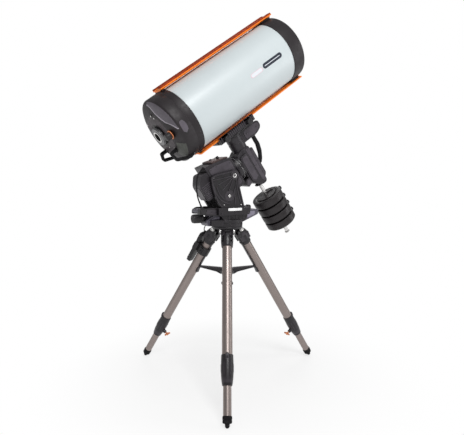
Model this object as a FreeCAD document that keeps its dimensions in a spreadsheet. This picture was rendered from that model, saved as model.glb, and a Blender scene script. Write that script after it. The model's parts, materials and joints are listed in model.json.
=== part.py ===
import FreeCAD, Part

import math
import os
import re

import Sketcher
from FreeCAD import Placement, Rotation, Vector

# A Schmidt-Cassegrain telescope on a German equatorial mount and a steel tripod.
# Row frame: +Z up, +X north, origin on the ground under the middle of the whole object. Millimetres.
# Shapes are drawn from the tripod's axis, and ROW moves each finished node into the row frame.

os.makedirs("parts", exist_ok=True)
doc = FreeCAD.newDocument("Telescope")

# ---------------------------------------------------------------- driving dimensions

SIZES = [
    ("latitude", 35, "angle of the polar axis above level, degrees"),
    ("pivot_height", 1066, "height of the altitude pivot"),
    ("head_bottom", 752, "underside of the tripod head"),
    ("head_top", 805, "face of the tripod head that carries the mount"),
    ("head_radius", 80, "radius of the tripod head's round face"),
    ("rod_bore", 6, "radius of the bore for the centre rod"),
    ("rod_end", 428, "height of the lower end of the centre rod"),
    ("leg_pivot_radius", 68.8, "distance of the leg pins from the middle"),
    ("leg_pivot_height", 785, "height of the leg pins"),
    ("leg_angle", 32.3, "slant of an open leg from upright, degrees"),
    ("leg_length", 905, "leg pin to the ball of the foot, along the leg"),
    ("leg_tube_radius", 24.2, "outside radius of the upper leg tube"),
    ("leg_tube_wall", 1.6, "wall of the leg tubes"),
    ("leg_tube_low", 165, "lower end of the upper leg tube, above the ball"),
    ("leg_tube_high", 860, "upper end of the upper leg tube, above the ball"),
    ("shank_radius", 18.5, "outside radius of the lower leg tube"),
    ("shank_high", 560, "upper end of the lower leg tube, above the ball"),
    ("ball_radius", 20, "radius of the foot's ball"),
    ("collar_low", 152, "lower end of the clamp collar, above the ball"),
    ("collar_high", 287, "upper end of the clamp collar, above the ball"),
    ("casting_low", 815, "lower end of the leg's top casting, above the ball"),
    ("spreader_height", 574, "height of the spreader arms"),
    ("spreader_tip", 169, "radius at the tips of the spreader arms"),
    ("base_drum_radius", 80, "radius of the mount's drum on the tripod head"),
    ("base_floor_top", 842, "top of the base's floor between the cheeks"),
    ("base_top", 905, "top of the base, under the side plates"),
    ("base_half_width", 88, "half the width of the base"),
    ("cheek_inner", 62, "side plate's inner face from the middle"),
    ("cheek_thickness", 14, "thickness of a side plate"),
    ("pivot_radius", 13, "radius of the altitude trunnions"),
    ("ra_half_width", 58, "half the width of the polar axis housing"),
    ("ra_shaft_radius", 24, "radius of the polar shaft"),
    ("ra_front", 42, "front face of the polar housing beyond the pivot"),
    ("dec_offset", 140, "declination axis from the pivot, along the polar axis"),
    ("dec_half_width", 60, "half the width of the declination housing"),
    ("dec_top", -150, "top of the declination housing, from the polar axis"),
    ("dec_bottom", 150, "bottom of the declination housing, from the polar axis"),
    ("dec_shaft_radius", 22, "radius of the declination shaft"),
    ("bar_radius", 10, "radius of the counterweight bar"),
    ("bar_end", 485, "end of the counterweight bar, from the polar axis"),
    ("weight_radius", 85, "radius of a counterweight"),
    ("weight_thickness", 47, "thickness of a counterweight"),
    ("weight_pitch", 48, "distance from one counterweight to the next"),
    ("weight_start", 225, "top face of the first counterweight"),
    ("tube_offset", 366, "optical axis from the polar axis"),
    ("tube_radius", 166, "outside radius of the optical tube"),
    ("tube_wall", 1.5, "wall of the optical tube"),
    ("tube_rear", -60, "rear seam of the tube, along the polar axis"),
    ("tube_front", 587, "front seam of the tube, along the polar axis"),
    ("cell_radius", 170, "outside radius of the two cells"),
    ("front_cell_end", 666, "open end of the front cell"),
    ("rear_cell_end", -160, "end of the rear cell's cylinder"),
    ("rear_plate_end", -188, "back face of the rear cell's middle"),
    ("rail_inner", 171, "inner face of a rail from the optical axis"),
    ("rail_outer", 183, "outer face of a rail from the optical axis"),
    ("rail_half_width", 50, "half the width of a rail"),
    ("rail_rear", -82, "rear end of the rails"),
    ("rail_front", 668, "front end of the rails"),
    ("mirror_radius", 145, "radius of the primary mirror"),
    ("baffle_radius", 35, "outside radius of the primary baffle tube"),
    ("corrector_radius", 148, "radius of the corrector plate"),
    ("secondary_radius", 56, "radius of the secondary's holder"),
    ("lead_radius", 3.5, "radius of the motor lead"),
    ("cord_radius", 2.5, "radius of the hand controller's cord"),
    ("origin_north", 67, "the row's origin from the tripod's axis, north, under the middle of the whole object"),
]

dims = doc.addObject("Spreadsheet::Sheet", "Dims")
size = {}
for row, (alias, number, meaning) in enumerate(SIZES, 1):
    dims.set("A%d" % row, meaning)
    dims.set("B%d" % row, str(number))
    dims.setAlias("B%d" % row, alias)
    size[alias] = float(number)
doc.recompute()

# ---------------------------------------------------------------- placements

POLAR = Placement(Vector(0, 0, size["pivot_height"]), Rotation(Vector(0, 1, 0), 90 - size["latitude"]))
OPTICAL = POLAR * Placement(Vector(-size["tube_offset"], 0, 0), Rotation())
UPRIGHT = Placement()
ROW = Placement(Vector(-size["origin_north"], 0, 0), Rotation())


def shift(x, y, z):
    return Placement(Vector(x, y, z), Rotation())


def spin(axis, angle):
    return Placement(Vector(), Rotation(axis, angle))


X_AXIS = Vector(1, 0, 0)
Y_AXIS = Vector(0, 1, 0)
Z_AXIS = Vector(0, 0, 1)
ALONG_X = spin(Y_AXIS, 90)
ALONG_Y = spin(X_AXIS, -90)

LEG_SLANT = math.radians(size["leg_angle"])
FOOT_RADIUS = size["leg_pivot_radius"] + size["leg_length"] * math.sin(LEG_SLANT)
FOOT_HEIGHT = size["leg_pivot_height"] - size["leg_length"] * math.cos(LEG_SLANT)
LEG_BEARINGS = {"a": 0, "b": 120, "c": -120}


def leg_frame(bearing):
    # Local +Z climbs the leg from the ball of the foot, local +X faces outwards.
    return spin(Z_AXIS, bearing) * shift(FOOT_RADIUS, 0, FOOT_HEIGHT) * spin(Y_AXIS, -size["leg_angle"])


# ---------------------------------------------------------------- features

nodes = []


def formula(text):
    return re.sub(r"[a-z_]\w*", lambda word: "Dims." + word.group(0), str(text))


def bind(thing, **texts):
    for name, text in texts.items():
        thing.setExpression(name, formula(text))
    return thing


def moved(thing, where):
    thing.Placement = where
    return thing


def rod(radius, length, where=UPRIGHT):
    return moved(bind(doc.addObject("Part::Cylinder", "Rod"), Radius=radius, Height=length), where)


def ball(radius, where=UPRIGHT):
    return moved(bind(doc.addObject("Part::Sphere", "Ball"), Radius=radius), where)


def block(low, high, where=UPRIGHT):
    # A box from one corner to the other, each corner three numbers.
    thing = doc.addObject("Part::Box", "Block")
    bind(thing, Length=high[0] - low[0], Width=high[1] - low[1], Height=high[2] - low[2])
    return moved(thing, where * shift(*low))


def fuse(things, where=UPRIGHT):
    thing = doc.addObject("Part::MultiFuse", "Union")
    thing.Shapes = things
    thing.Refine = True
    return moved(thing, where)


def cut(base, tools, where=UPRIGHT):
    thing = doc.addObject("Part::Cut", "Difference")
    thing.Base = base
    thing.Tool = tools[0] if len(tools) == 1 else fuse(tools)
    thing.Refine = True
    return moved(thing, where)


def pipe(outer, inner, length, where=UPRIGHT):
    return cut(rod(outer, length), [rod(inner, length)], where)


def group(things, where=UPRIGHT):
    thing = doc.addObject("Part::Compound", "Group")
    thing.Links = things
    return moved(thing, where)


def sketch_in(body, role, corners):
    sketch = body.newObject("Sketcher::SketchObject", "Outline")
    plane = [item for item in body.Origin.OriginFeatures if item.Role == role][0]
    sketch.AttachmentSupport = [(plane, "")]
    sketch.MapMode = "FlatFace"
    count = len(corners)
    points = []
    for number in range(count):
        turn = 2 * math.pi * number / count
        points.append(Vector(math.cos(turn), math.sin(turn), 0))
    for number in range(count):
        sketch.addGeometry(Part.LineSegment(points[number], points[(number + 1) % count]), False)
    for number in range(count):
        sketch.addConstraint(Sketcher.Constraint("Coincident", number, 2, (number + 1) % count, 1))
    for number, corner in enumerate(corners):
        for kind, text in zip(("DistanceX", "DistanceY"), corner):
            index = sketch.addConstraint(Sketcher.Constraint(kind, -1, 1, number, 1, 1.0 + number))
            sketch.setExpression("Constraints[%d]" % index, formula(text))
    return sketch


def turned(corners, where=UPRIGHT):
    # A solid of revolution about Z: corners are (radius, height).
    body = doc.addObject("PartDesign::Body", "Turned")
    sketch = sketch_in(body, "XZ_Plane", corners)
    feature = body.newObject("PartDesign::Revolution", "Revolution")
    feature.Profile = sketch
    feature.ReferenceAxis = (sketch, ["V_Axis"])
    feature.Angle = 360
    return moved(body, where)


def plate(corners, low, high, where=UPRIGHT):
    # A flat piece seen from the side: corners are (x, z), and it lies between y = low and y = high.
    body = doc.addObject("PartDesign::Body", "Plate")
    sketch = sketch_in(body, "XZ_Plane", corners)
    feature = body.newObject("PartDesign::Pad", "Pad")
    feature.Profile = sketch
    feature.setExpression("Length", formula(high) + " - (" + formula(low) + ")")
    return moved(body, where * shift(0, high, 0))


def node(name, thing):
    # Everything is drawn about the tripod's axis, and each node is then moved to the row's origin.
    thing.Label = name
    thing.Placement = ROW * thing.Placement
    nodes.append(thing)
    return thing

# ---------------------------------------------------------------- tripod head

HEAD = size["head_top"]
lugs = []
openings = [rod(6.05, 60, shift(0, 0, HEAD - 57))]
for bearing in LEG_BEARINGS.values():
    turn = spin(Z_AXIS, bearing)
    pin_place = turn * shift(size["leg_pivot_radius"], 0, size["leg_pivot_height"])
    lugs.append(block((30, -13, 768), (size["leg_pivot_radius"], 13, HEAD - 12), turn))
    lugs.append(rod(17, 26, pin_place * shift(0, -13, 0) * ALONG_Y))
    openings.append(rod(5.05, 80, pin_place * shift(0, -40, 0) * ALONG_Y))
    for side in (-45, 13):
        openings.append(rod(23, 32, pin_place * shift(0, side, 0) * ALONG_Y))
head_disc = rod("head_radius", 12, shift(0, 0, HEAD - 12))
head_core = rod(36, HEAD - size["head_bottom"] - 8, shift(0, 0, size["head_bottom"]))
node("tripod_head", cut(fuse([head_disc, head_core] + lugs), openings))

pins = []
for bearing in LEG_BEARINGS.values():
    pin_at = spin(Z_AXIS, bearing) * shift(size["leg_pivot_radius"], -34, size["leg_pivot_height"])
    shank = rod(5, 68, pin_at * ALONG_Y)
    pin_heads = [rod(9, 6, pin_at * shift(0, y, 0) * ALONG_Y) for y in (-6, 68)]
    pins.append(fuse([shank] + pin_heads))
node("leg_pins", group(pins))

rod_top = HEAD - 0.5
centre_rod = fuse([
    rod("rod_bore", rod_top - size["rod_end"], shift(0, 0, size["rod_end"])),
    rod(12, 5, shift(0, 0, HEAD - 62.2)),
])
node("centre_rod", centre_rod)

# ---------------------------------------------------------------- legs

for letter, bearing in LEG_BEARINGS.items():
    frame = leg_frame(bearing)
    pivot = size["leg_length"]

    # The casting grips the tube and forks around the head's lug.
    socket = turned([
        ("leg_tube_radius", "casting_low"), (29, "casting_low"), (32, "casting_low + 6"),
        (32, pivot - 24), ("leg_tube_radius", pivot - 24),
    ])
    cap = rod(32, 6, shift(0, 0, pivot - 24))
    ears = []
    for side in (-1, 1):
        low, high = sorted((side * 13.5, side * 31))
        ears.append(block((-18, low, pivot - 24), (18, high, pivot)))
        ears.append(rod(18, 17.5, shift(0, low, pivot) * ALONG_Y))
    gap = rod(31, 27, shift(0, -13.5, pivot) * ALONG_Y)
    eye = rod(5.05, 80, shift(0, -40, pivot) * ALONG_Y)
    casting = cut(fuse([socket, cap] + ears), [gap, eye])

    # The collar is split at its low end and holds the lower tube.
    collar = turned([
        ("leg_tube_radius", "leg_tube_low"), ("leg_tube_radius", "collar_high"), (27.5, "collar_high"),
        (29, "collar_high - 60"), (27.4, "collar_low + 34"), (26.2, "leg_tube_low - 3"), (22, "collar_low"),
        ("shank_radius + 0.4", "collar_low"), ("shank_radius + 0.4", "leg_tube_low"),
    ])
    boss = rod(9, 17, shift(-44, 0, 200) * ALONG_X)
    bore = rod(4.1, 30, shift(-50, 0, 200) * ALONG_X)
    stop = ball(8, shift(29, 0, 283))
    clamp = cut(fuse([collar, boss, stop]), [bore, rod("leg_tube_radius", 200, shift(0, 0, 165))])
    node("leg_%s_fittings" % letter, group([casting, clamp], frame))

    tube = pipe(
        "leg_tube_radius", "leg_tube_radius - leg_tube_wall",
        "leg_tube_high - leg_tube_low", shift(0, 0, size["leg_tube_low"]),
    )
    screw_hole = rod(4.1, 30, shift(-40, 0, 200) * ALONG_X)
    node("leg_%s_tube" % letter, moved(cut(tube, [screw_hole]), frame))

    node("leg_%s_lower_tube" % letter, pipe(
        "shank_radius", "shank_radius - leg_tube_wall", "shank_high - 18", frame * shift(0, 0, 18),
    ))

    foot = turned([
        (0, -12), (9, -12), (12, -6), (12, 2), (21, 4), (21, 26), (20, 29), ("shank_radius", 29),
        ("shank_radius", 18), (0, 18),
    ])
    node("leg_%s_foot" % letter, moved(fuse([foot, ball("ball_radius")]), frame))

    stem = rod(4, 36, shift(-56, 0, 200) * ALONG_X)
    grip = fuse([rod(8, 10, shift(-64, 0, 200) * ALONG_X), rod(4.5, 44, shift(-59, -22, 200) * ALONG_Y)])
    node("leg_%s_knob" % letter, moved(fuse([stem, grip]), frame))

# ---------------------------------------------------------------- spreader

HUB = size["spreader_height"]
arm_things = [turned([
    (6.5, HUB - 60), (20, HUB - 60), (22, HUB - 34), (36, HUB - 12), (36, HUB + 8), (14, HUB + 14), (6.5, HUB + 14),
])]
for bearing in LEG_BEARINGS.values():
    side_view = [
        (15, HUB + 10), ("spreader_tip", HUB + 5), ("spreader_tip + 6", HUB - 5), (60, HUB - 18), (15, HUB - 30),
    ]
    arm_things.append(plate(side_view, -9, 9, spin(Z_AXIS, bearing)))
star = cut(fuse(arm_things), [rod(6.5, 90, shift(0, 0, HUB - 65))])
node("spreader", star)

node("tension_knob", turned([
    (6.2, HUB - 88), (14, HUB - 88), (16, HUB - 84), (32, HUB - 80), (32, HUB - 68), (18, HUB - 64),
    (14, HUB - 60), (6.2, HUB - 60),
]))

# ---------------------------------------------------------------- hand controller

holder_frame = leg_frame(LEG_BEARINGS["b"])
holder_at = 742
strap = turned([
    ("leg_tube_radius", holder_at), (33, holder_at), (33, holder_at + 46), ("leg_tube_radius", holder_at + 46),
])
cradle = cut(
    block((30, -30, holder_at), (58, 30, holder_at + 46)),
    [block((36, -25, holder_at - 1), (59, 25, holder_at + 47))],
)
cradle = cut(fuse([strap, cradle]), [rod("leg_tube_radius", 90, shift(0, 0, holder_at - 20))])
node("controller_holder", moved(cradle, holder_frame))

handset = block((36.3, -24.6, holder_at - 82), (60, 24.6, holder_at + 105))
keys = []
for level in range(5):
    for column in (-1, 0, 1):
        keys.append(block(
            (60, 14 * column - 5, holder_at - 66 + 14 * level), (62, 14 * column + 5, holder_at - 57 + 14 * level),
        ))
node("hand_controller", fuse([handset] + keys, holder_frame))

# ---------------------------------------------------------------- azimuth base and side plates

# Each side wall is thin below and carries a wide flange under the side plate.
FLANGE_ROOT = 66
FLANGE_LOW = 868
FLANGE_START = -96
drum = rod("base_drum_radius", 37, shift(0, 0, HEAD))
floor = block((-120, -56, 812), (60, 56, size["base_floor_top"]))
walls = []
for side in (-1, 1):
    low, high = sorted((side * 56, side * size["base_half_width"]))
    walls.append(plate(
        [
            (-172, 872), (-70, 862), (-50, 835), (50, 826), (80, 842), (92, "base_top"), (-150, "base_top"),
            (-172, 892),
        ], low, high,
    ))
south_arm = plate([(-60, 812), (-130, 812), (-136, 843), (-92, 866), (-60, 866)], -36, 36)
south_bridge = block((-172, -56, 878), (-120, 56, 896))
north_arm = plate([(40, 812), (80, 826), (172, 862), (172, 888), (70, 888), (40, 860)], -34, 34)
screw_ears = [block((98, low, 888), (116, low + 14, 914)) for low in (-34, 20)]
lead_socket = block((-200, -84, 876), (-165, -60, 904))
base = cut(
    fuse([drum, floor, south_arm, south_bridge, north_arm, lead_socket] + walls + screw_ears),
    [
        rod(5.05, 120, shift(107, -60, 903) * ALONG_Y),
        rod(9.05, 120, shift(-180, 0, 850) * ALONG_X),
        block((-180, -90, 820), (100, -FLANGE_ROOT, FLANGE_LOW)),
        block((-180, FLANGE_ROOT, 820), (100, 90, FLANGE_LOW)),
        block((-164.9, -90, FLANGE_LOW - 1), (FLANGE_START, -FLANGE_ROOT, 910)),
        block((-180, FLANGE_ROOT, FLANGE_LOW - 1), (FLANGE_START, 90, 910)),
    ],
)
control_port = block((-86, 64, 833.5), (-64, 87, 869))
node("azimuth_base", fuse([base, control_port]))

screws = []
for side in (-1, 1):
    low = 4 if side > 0 else -44
    shank = rod(5, 40, shift(107, low, 903) * ALONG_Y)
    knob_low = 35 if side > 0 else -47
    screws.append(fuse([shank, rod(11, 12, shift(107, knob_low, 903) * ALONG_Y)]))
node("azimuth_knobs", group(screws))

PLATE_SIDE = [
    (-134, 1055), (-123, 996), (-107, 956), (-95, 931), (-76, "base_top"), (60, "base_top"),
    (28, 1020), (29, 1070), (18, 1090), (0, 1095), (-18, 1089), (-101, 1073),
]
cheeks = []
for side in (-1, 1):
    low, high = sorted((side * size["cheek_inner"], side * (size["cheek_inner"] + size["cheek_thickness"])))
    slab = plate(PLATE_SIDE, low, high)
    hole = rod("pivot_radius + 0.05", 40, shift(0, side * 69 - 20, size["pivot_height"]) * ALONG_Y)
    cheeks.append(cut(slab, [hole]))
node("side_plates", group(cheeks))

# The altitude screw pushes the rear of the polar housing up and down.
node("altitude_screw", fuse([
    rod(9, 74, shift(-140, 0, 850) * ALONG_X),
    rod(23, 62, shift(-202, 0, 850) * ALONG_X),
]))

# ---------------------------------------------------------------- polar axis

HALF = size["ra_half_width"]
shell = plate([
    (-71, "ra_front"), (70, "ra_front"), (76, 0), (64, -60), (52, -110), (-124, -110), (-113, -60), (-88, 30),
], -HALF, HALF)
hollow = plate([
    (-62, 34), (60, 34), (66, -4), (55, -60), (44, -102), (-114, -102), (-104, -60), (-80, 26),
], -HALF + 8, HALF - 8)
trunnions = []
for side in (-1, 1):
    low, high = sorted((side * HALF, side * (size["cheek_inner"] + size["cheek_thickness"] + 2)))
    trunnions.append(rod("pivot_radius", high - low, shift(0, low, 0) * ALONG_Y))
ra_housing = cut(
    fuse([shell] + trunnions),
    [hollow, rod("ra_shaft_radius + 14", 40, shift(0, 0, 20))],
)
seat = pipe("ra_shaft_radius + 20", "ra_shaft_radius + 14", 22, shift(0, 0, 18))
rear_seat = pipe("ra_shaft_radius + 18", "ra_shaft_radius + 14", 20, shift(0, 0, -103))
ra_housing = fuse([ra_housing, seat, rear_seat], POLAR)
node("ra_housing", ra_housing)

bearing_rings = [
    pipe("ra_shaft_radius + 14", "ra_shaft_radius", 16, shift(0, 0, 22)),
    pipe("ra_shaft_radius + 14", "ra_shaft_radius", 16, shift(0, 0, -101)),
]
node("ra_bearings", group(bearing_rings, POLAR))

motor_shell = plate([(-104, -150), (-96, -110), (20, -110), (27, -120), (27, -186), (-60, -186)], -53.5, 26)
motor_hollow = plate([(-92, -148), (-88, -114), (14, -114), (20, -124), (20, -180), (-56, -180)], -48, 20)
ribs = [block((x, -55.3, -180), (x + 5, -53.5, -116)) for x in range(-50, 20, 13)]
motor_cover = cut(fuse([motor_shell] + ribs), [motor_hollow])
top_cover = plate([(-113, -60), (-88, 30), (-96, 30), (-104, 0), (-121, -60)], -52, 52)
level_knob = rod(7, 12, shift(-107, -18, -4) * spin(Y_AXIS, -90))
node("ra_covers", group([motor_cover, top_cover, level_knob], POLAR))

WHEEL = 44
node("ra_worm_wheel", pipe(WHEEL, "ra_shaft_radius", 14, POLAR * shift(0, 0, -40)))
worm_x = WHEEL + 9.2
node("ra_worm", fuse([
    rod(9, 30, shift(0, -15, 0) * ALONG_Y),
    rod(4, 70, shift(0, -35, 0) * ALONG_Y),
], POLAR * shift(-worm_x, 0, -33)))

node("ra_shaft", moved(turned([
    (8, -101), ("ra_shaft_radius", -101), ("ra_shaft_radius", "ra_front + 1"), (66, "ra_front + 1"),
    (68, "ra_front + 4"), (68, "dec_offset - dec_half_width"), (8, "dec_offset - dec_half_width"),
]), POLAR))

# ---------------------------------------------------------------- declination axis

DEC = POLAR * shift(0, 0, size["dec_offset"])
WIDE = size["dec_half_width"]
BODY_SIDE = 46
BACK_SIDE = 30
LUG_SIDE = 22
SHELL = 5
dec_body = plate([
    (-70, -30), (-52, -WIDE), (104, -WIDE), ("dec_bottom", -8), ("dec_bottom", 20), (138, 30), (-70, 30),
], -BODY_SIDE, BODY_SIDE)
dec_body_hollow = plate([
    (-58, -24), (-46, -54), (99, -54), (143, -7), (143, 17), (136, 25), (-58, 25),
], SHELL - BODY_SIDE, BODY_SIDE - SHELL)
dec_back = plate([(-52, 29), (-46, 54), (112, 54), (128, 40), (128, 29)], -BACK_SIDE, BACK_SIDE)
dec_back_hollow = plate(
    [(-44, 20), (-44, 49), (108, 49), (122, 38), (122, 20)], SHELL - BACK_SIDE, BACK_SIDE - SHELL,
)
dec_neck = rod("dec_shaft_radius + 20", 100, shift(size["dec_top"], 0, 0) * ALONG_X)
dec_neck_hollow = rod("dec_shaft_radius + 16", 66, shift(-116, 0, 0) * ALONG_X)
dec_lug = plate([
    (-146, 20), (-148, 116), (-142, 160), (-134, 168), (-112, 170), (-98, 160), (-84, 128), (-84, 20),
], -LUG_SIDE, LUG_SIDE)
dec_bore = rod("dec_shaft_radius + 12", 80, shift(-160, 0, 0) * ALONG_X)
dec_seats = [
    pipe("dec_shaft_radius + 20", "dec_shaft_radius + 12", 24, shift(60, 0, 0) * ALONG_X),
    pipe(20, "bar_radius", 14, shift(134, 0, 0) * ALONG_X),
    block((59, -44, -57), (66, 44, -36)),
    block((59, -28, 36), (66, 28, 52)),
]
dec_shell_open = cut(
    fuse([dec_body, dec_back, dec_neck, dec_lug]),
    [
        dec_body_hollow, dec_back_hollow, dec_neck_hollow, dec_bore,
        rod("bar_radius", 60, shift(120, 0, 0) * ALONG_X),
    ],
)
node("dec_housing", fuse([dec_shell_open] + dec_seats, DEC))

node("dec_bearings", group([
    pipe("dec_shaft_radius + 12", "dec_shaft_radius", 18, shift(-140, 0, 0) * ALONG_X),
    pipe("dec_shaft_radius + 12", "dec_shaft_radius", 18, shift(62, 0, 0) * ALONG_X),
], DEC))

dec_cover = plate([(72, -WIDE), (104, -WIDE), (112, -86), (96, -92), (72, -80)], -BODY_SIDE, 40)
side_cover = plate(
    [(-46, -34), (-38, -52), (96, -52), (116, -30), (96, 22), (-46, 22)], -BODY_SIDE - 6, -BODY_SIDE,
)
node("dec_motor_cover", group([dec_cover, side_cover], DEC))

node("dec_worm_wheel", pipe(34, "dec_shaft_radius", 14, DEC * shift(10, 0, 0) * ALONG_X))
node("dec_worm", fuse([
    rod(7, 30, shift(0, -15, 0) * ALONG_Y),
    rod(4, 48, shift(0, -24, 0) * ALONG_Y),
], DEC * shift(17, 0, 41.2)))

node("dec_shaft", fuse([
    pipe("dec_shaft_radius", 14, 239, shift(-157, 0, 0) * ALONG_X),
    pipe(52, 14, 6.5, shift(-157, 0, 0) * ALONG_X),
], DEC))

# A handle that bows from the housing's lug down to its north face.
handle = plate([
    (-84, 96), (-33, 98), (12, 86), (40, 70), (48, 54), (66, 54), (66, 74), (48, 90), (10, 110), (-28, 120), (-84, 120),
], -10, 10)
node("carry_handle", moved(handle, DEC))

# ---------------------------------------------------------------- counterweights

BAR_START = 126
bar_length = "bar_end - %d" % (BAR_START + 8)
node("counterweight_bar", fuse([
    rod("bar_radius", bar_length, shift(BAR_START, 0, 0) * ALONG_X),
    rod(14, 8, shift(size["bar_end"] - 8, 0, 0) * ALONG_X),
], DEC))


def weight(number):
    start = size["weight_start"] + number * size["weight_pitch"]
    disc = moved(turned([
        ("bar_radius + 0.3", 0), (56, 0), (58, 4), ("weight_radius - 4", 4), ("weight_radius", 8),
        ("weight_radius", "weight_thickness - 4"), ("weight_radius - 4", "weight_thickness"),
        ("bar_radius + 0.3", "weight_thickness"),
    ]), shift(start, 0, 0) * ALONG_X)
    slot = block((start - 1, -15, 0), (start + 5, 15, 48))
    screw_bore = rod(5.05, 90, shift(start + 24, 0, 8))
    return cut(disc, [slot, screw_bore])


def weight_screw(number):
    start = size["weight_start"] + number * size["weight_pitch"]
    at = shift(start + 24, 0, 0)
    return fuse([rod(5, 86, at * shift(0, 0, 10.6)), rod(11, 12, at * shift(0, 0, 90)), rod(7, 5, at * shift(0, 0, 85.5))])


node("counterweight_top", moved(weight(0), DEC))
node("counterweight_top_knob", moved(weight_screw(0), DEC))
lower_weights = [weight(number) for number in (1, 2, 3)]
lower_screws = [weight_screw(number) for number in (1, 2, 3)]
node("counterweights_lower", group(lower_weights + lower_screws, DEC))

# ---------------------------------------------------------------- saddle

SADDLE_LOW, SADDLE_HIGH = -105, 132
RAIL_FACE = size["rail_outer"] - size["tube_offset"]
SLIDING_GAP = 0.05
deck = block((RAIL_FACE + SLIDING_GAP, -54, SADDLE_LOW), (-158, 66, SADDLE_HIGH))
fixed_lip = block((RAIL_FACE - 12, 50.3, SADDLE_LOW), (RAIL_FACE + SLIDING_GAP, 66, SADDLE_HIGH))
hub = rod(56, 1, shift(-158, 0, 0) * ALONG_X)
knob_bores = [rod(5.05, 60, shift(-170, -90, z) * ALONG_Y) for z in (-70, 90)]
pockets = [block((-176, -46, z), (-166, -20, z + 12)) for z in range(-50, 71, 20)]
node("saddle", cut(fuse([deck, fixed_lip, hub], DEC), [moved(fuse(knob_bores + pockets), DEC)]))

jaw_plate = block((RAIL_FACE - 12, -66, SADDLE_LOW), (-162, -54.5, SADDLE_HIGH))
jaw_lip = block((RAIL_FACE - 12, -54.5, SADDLE_LOW), (RAIL_FACE - 0.2, -50.3, SADDLE_HIGH))
jaw = cut(fuse([jaw_plate, jaw_lip]), knob_bores)
node("saddle_jaw", moved(jaw, DEC))
for letter, z in (("a", -70), ("b", 90)):
    node("saddle_knob_%s" % letter, fuse([
        rod(5, 40, shift(-170, -86, z) * ALONG_Y),
        rod(15, 16, shift(-170, -84, z) * ALONG_Y),
    ], DEC))

# ---------------------------------------------------------------- optical tube

HANDLE_TURN = 33
KNOB_X, KNOB_Y = 5, -112

node("tube", pipe(
    "tube_radius", "tube_radius - tube_wall", "tube_front - tube_rear", OPTICAL * shift(0, 0, size["tube_rear"]),
))

FRONT = size["tube_front"]
node("front_cell", moved(turned([
    ("tube_radius - tube_wall", FRONT - 20), ("tube_radius - tube_wall", FRONT), ("cell_radius", FRONT),
    ("cell_radius", "front_cell_end - 8"), ("cell_radius - 5", "front_cell_end"), (153, "front_cell_end"),
    (149, FRONT + 36), (149, FRONT + 22), (142, FRONT + 22), (142, FRONT + 14), (158, FRONT - 20),
]), OPTICAL))

REAR = size["tube_rear"]
rear_shell = turned([
    ("tube_radius - tube_wall", REAR + 18), ("tube_radius - tube_wall", REAR), ("cell_radius", REAR),
    ("cell_radius", "rear_cell_end + 8"), ("cell_radius - 5", "rear_cell_end"), (150, -168), (112, -182),
    (58, "rear_plate_end"), (24, "rear_plate_end"), (24, -178), (108, -172), (144, -158), (158, -150),
    (158, REAR + 18),
])
knob_hole = rod(5.05, 60, shift(KNOB_X, KNOB_Y, -200))
node("rear_cell", moved(cut(rear_shell, [knob_hole]), OPTICAL))

rail_pieces = []
for side in (-1, 1):
    rail_pieces.append(block(
        (side * size["rail_inner"] if side > 0 else -size["rail_outer"], -size["rail_half_width"], size["rail_rear"]),
        (side * size["rail_outer"] if side > 0 else -size["rail_inner"], size["rail_half_width"], size["rail_front"]),
    ))
node("rails", group(rail_pieces, OPTICAL))

node("primary_mirror", moved(turned([
    (40, -126), (140, -126), ("mirror_radius", -120), ("mirror_radius", -98), (90, -106), (40, -109),
]), OPTICAL))

node("baffle_tube", moved(turned([
    (24, -176), (24, 150), (27, 150), (27, -60), ("baffle_radius", -60), ("baffle_radius", -160),
    (46, -170.5), (46, -173.5),
]), OPTICAL))

node("corrector", pipe(
    "corrector_radius", "secondary_radius - 6", 5, OPTICAL * shift(0, 0, FRONT + 22),
))

node("secondary", moved(turned([
    (0, FRONT - 2), (40, FRONT - 2), (44, FRONT + 14), ("secondary_radius", FRONT + 16),
    ("secondary_radius", FRONT + 22), ("secondary_radius - 6", FRONT + 22), ("secondary_radius - 6", FRONT + 27),
    ("secondary_radius", FRONT + 27), ("secondary_radius", FRONT + 34), (50, FRONT + 38), (0, FRONT + 38),
]), OPTICAL))

node("focus_knob", fuse([
    rod(5, 54, shift(0, 0, -192)),
    rod(17, 26, shift(0, 0, -218)),
    rod(22, 5, shift(0, 0, -192)),
], OPTICAL * shift(KNOB_X, KNOB_Y, 0)))

grips = []
for turn in (-HANDLE_TURN, HANDLE_TURN):
    loop = plate([
        (98, -184), (98, -216), (104, -222), (146, -222), (154, -214), (180, -152), (178, -140), (170.2, -134),
        (170.2, -152.1), (169.9, -153.5), (143, -212), (110, -212), (110, -182.8),
    ], -8, 8, spin(Z_AXIS, turn))
    grips.append(loop)
node("rear_handles", group(grips, OPTICAL))

node("rear_port", moved(turned([
    (22, -178), (24, -178), (24, -188.2), (46, -188.2), (48, -192), (48, -202), (44, -206), (22, -206),
]), OPTICAL))

# ---------------------------------------------------------------- cords


def cord_path(points):
    # Straight runs joined by arcs, each arc as large as its two runs allow.
    edges = []
    start = points[0]
    radii = []
    for before, corner, after in zip(points, points[1:], points[2:]):
        into = (corner - before).normalize()
        away = (after - corner).normalize()
        half_turn = into.getAngle(away) / 2
        setback = 0.45 * min((corner - before).Length, (after - corner).Length)
        radius = setback / math.tan(half_turn)
        first = corner - into * setback
        last = corner + away * setback
        middle_line = (away - into).normalize()
        centre_distance = radius / math.cos(half_turn)
        centre = corner + middle_line * centre_distance
        middle = centre - middle_line * radius
        edges.append(Part.LineSegment(start, first).toShape())
        edges.append(Part.Arc(first, middle, last).toShape())
        start = last
        radii.append(radius)
    edges.append(Part.LineSegment(start, points[-1]).toShape())
    return Part.Wire(edges), radii


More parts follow.
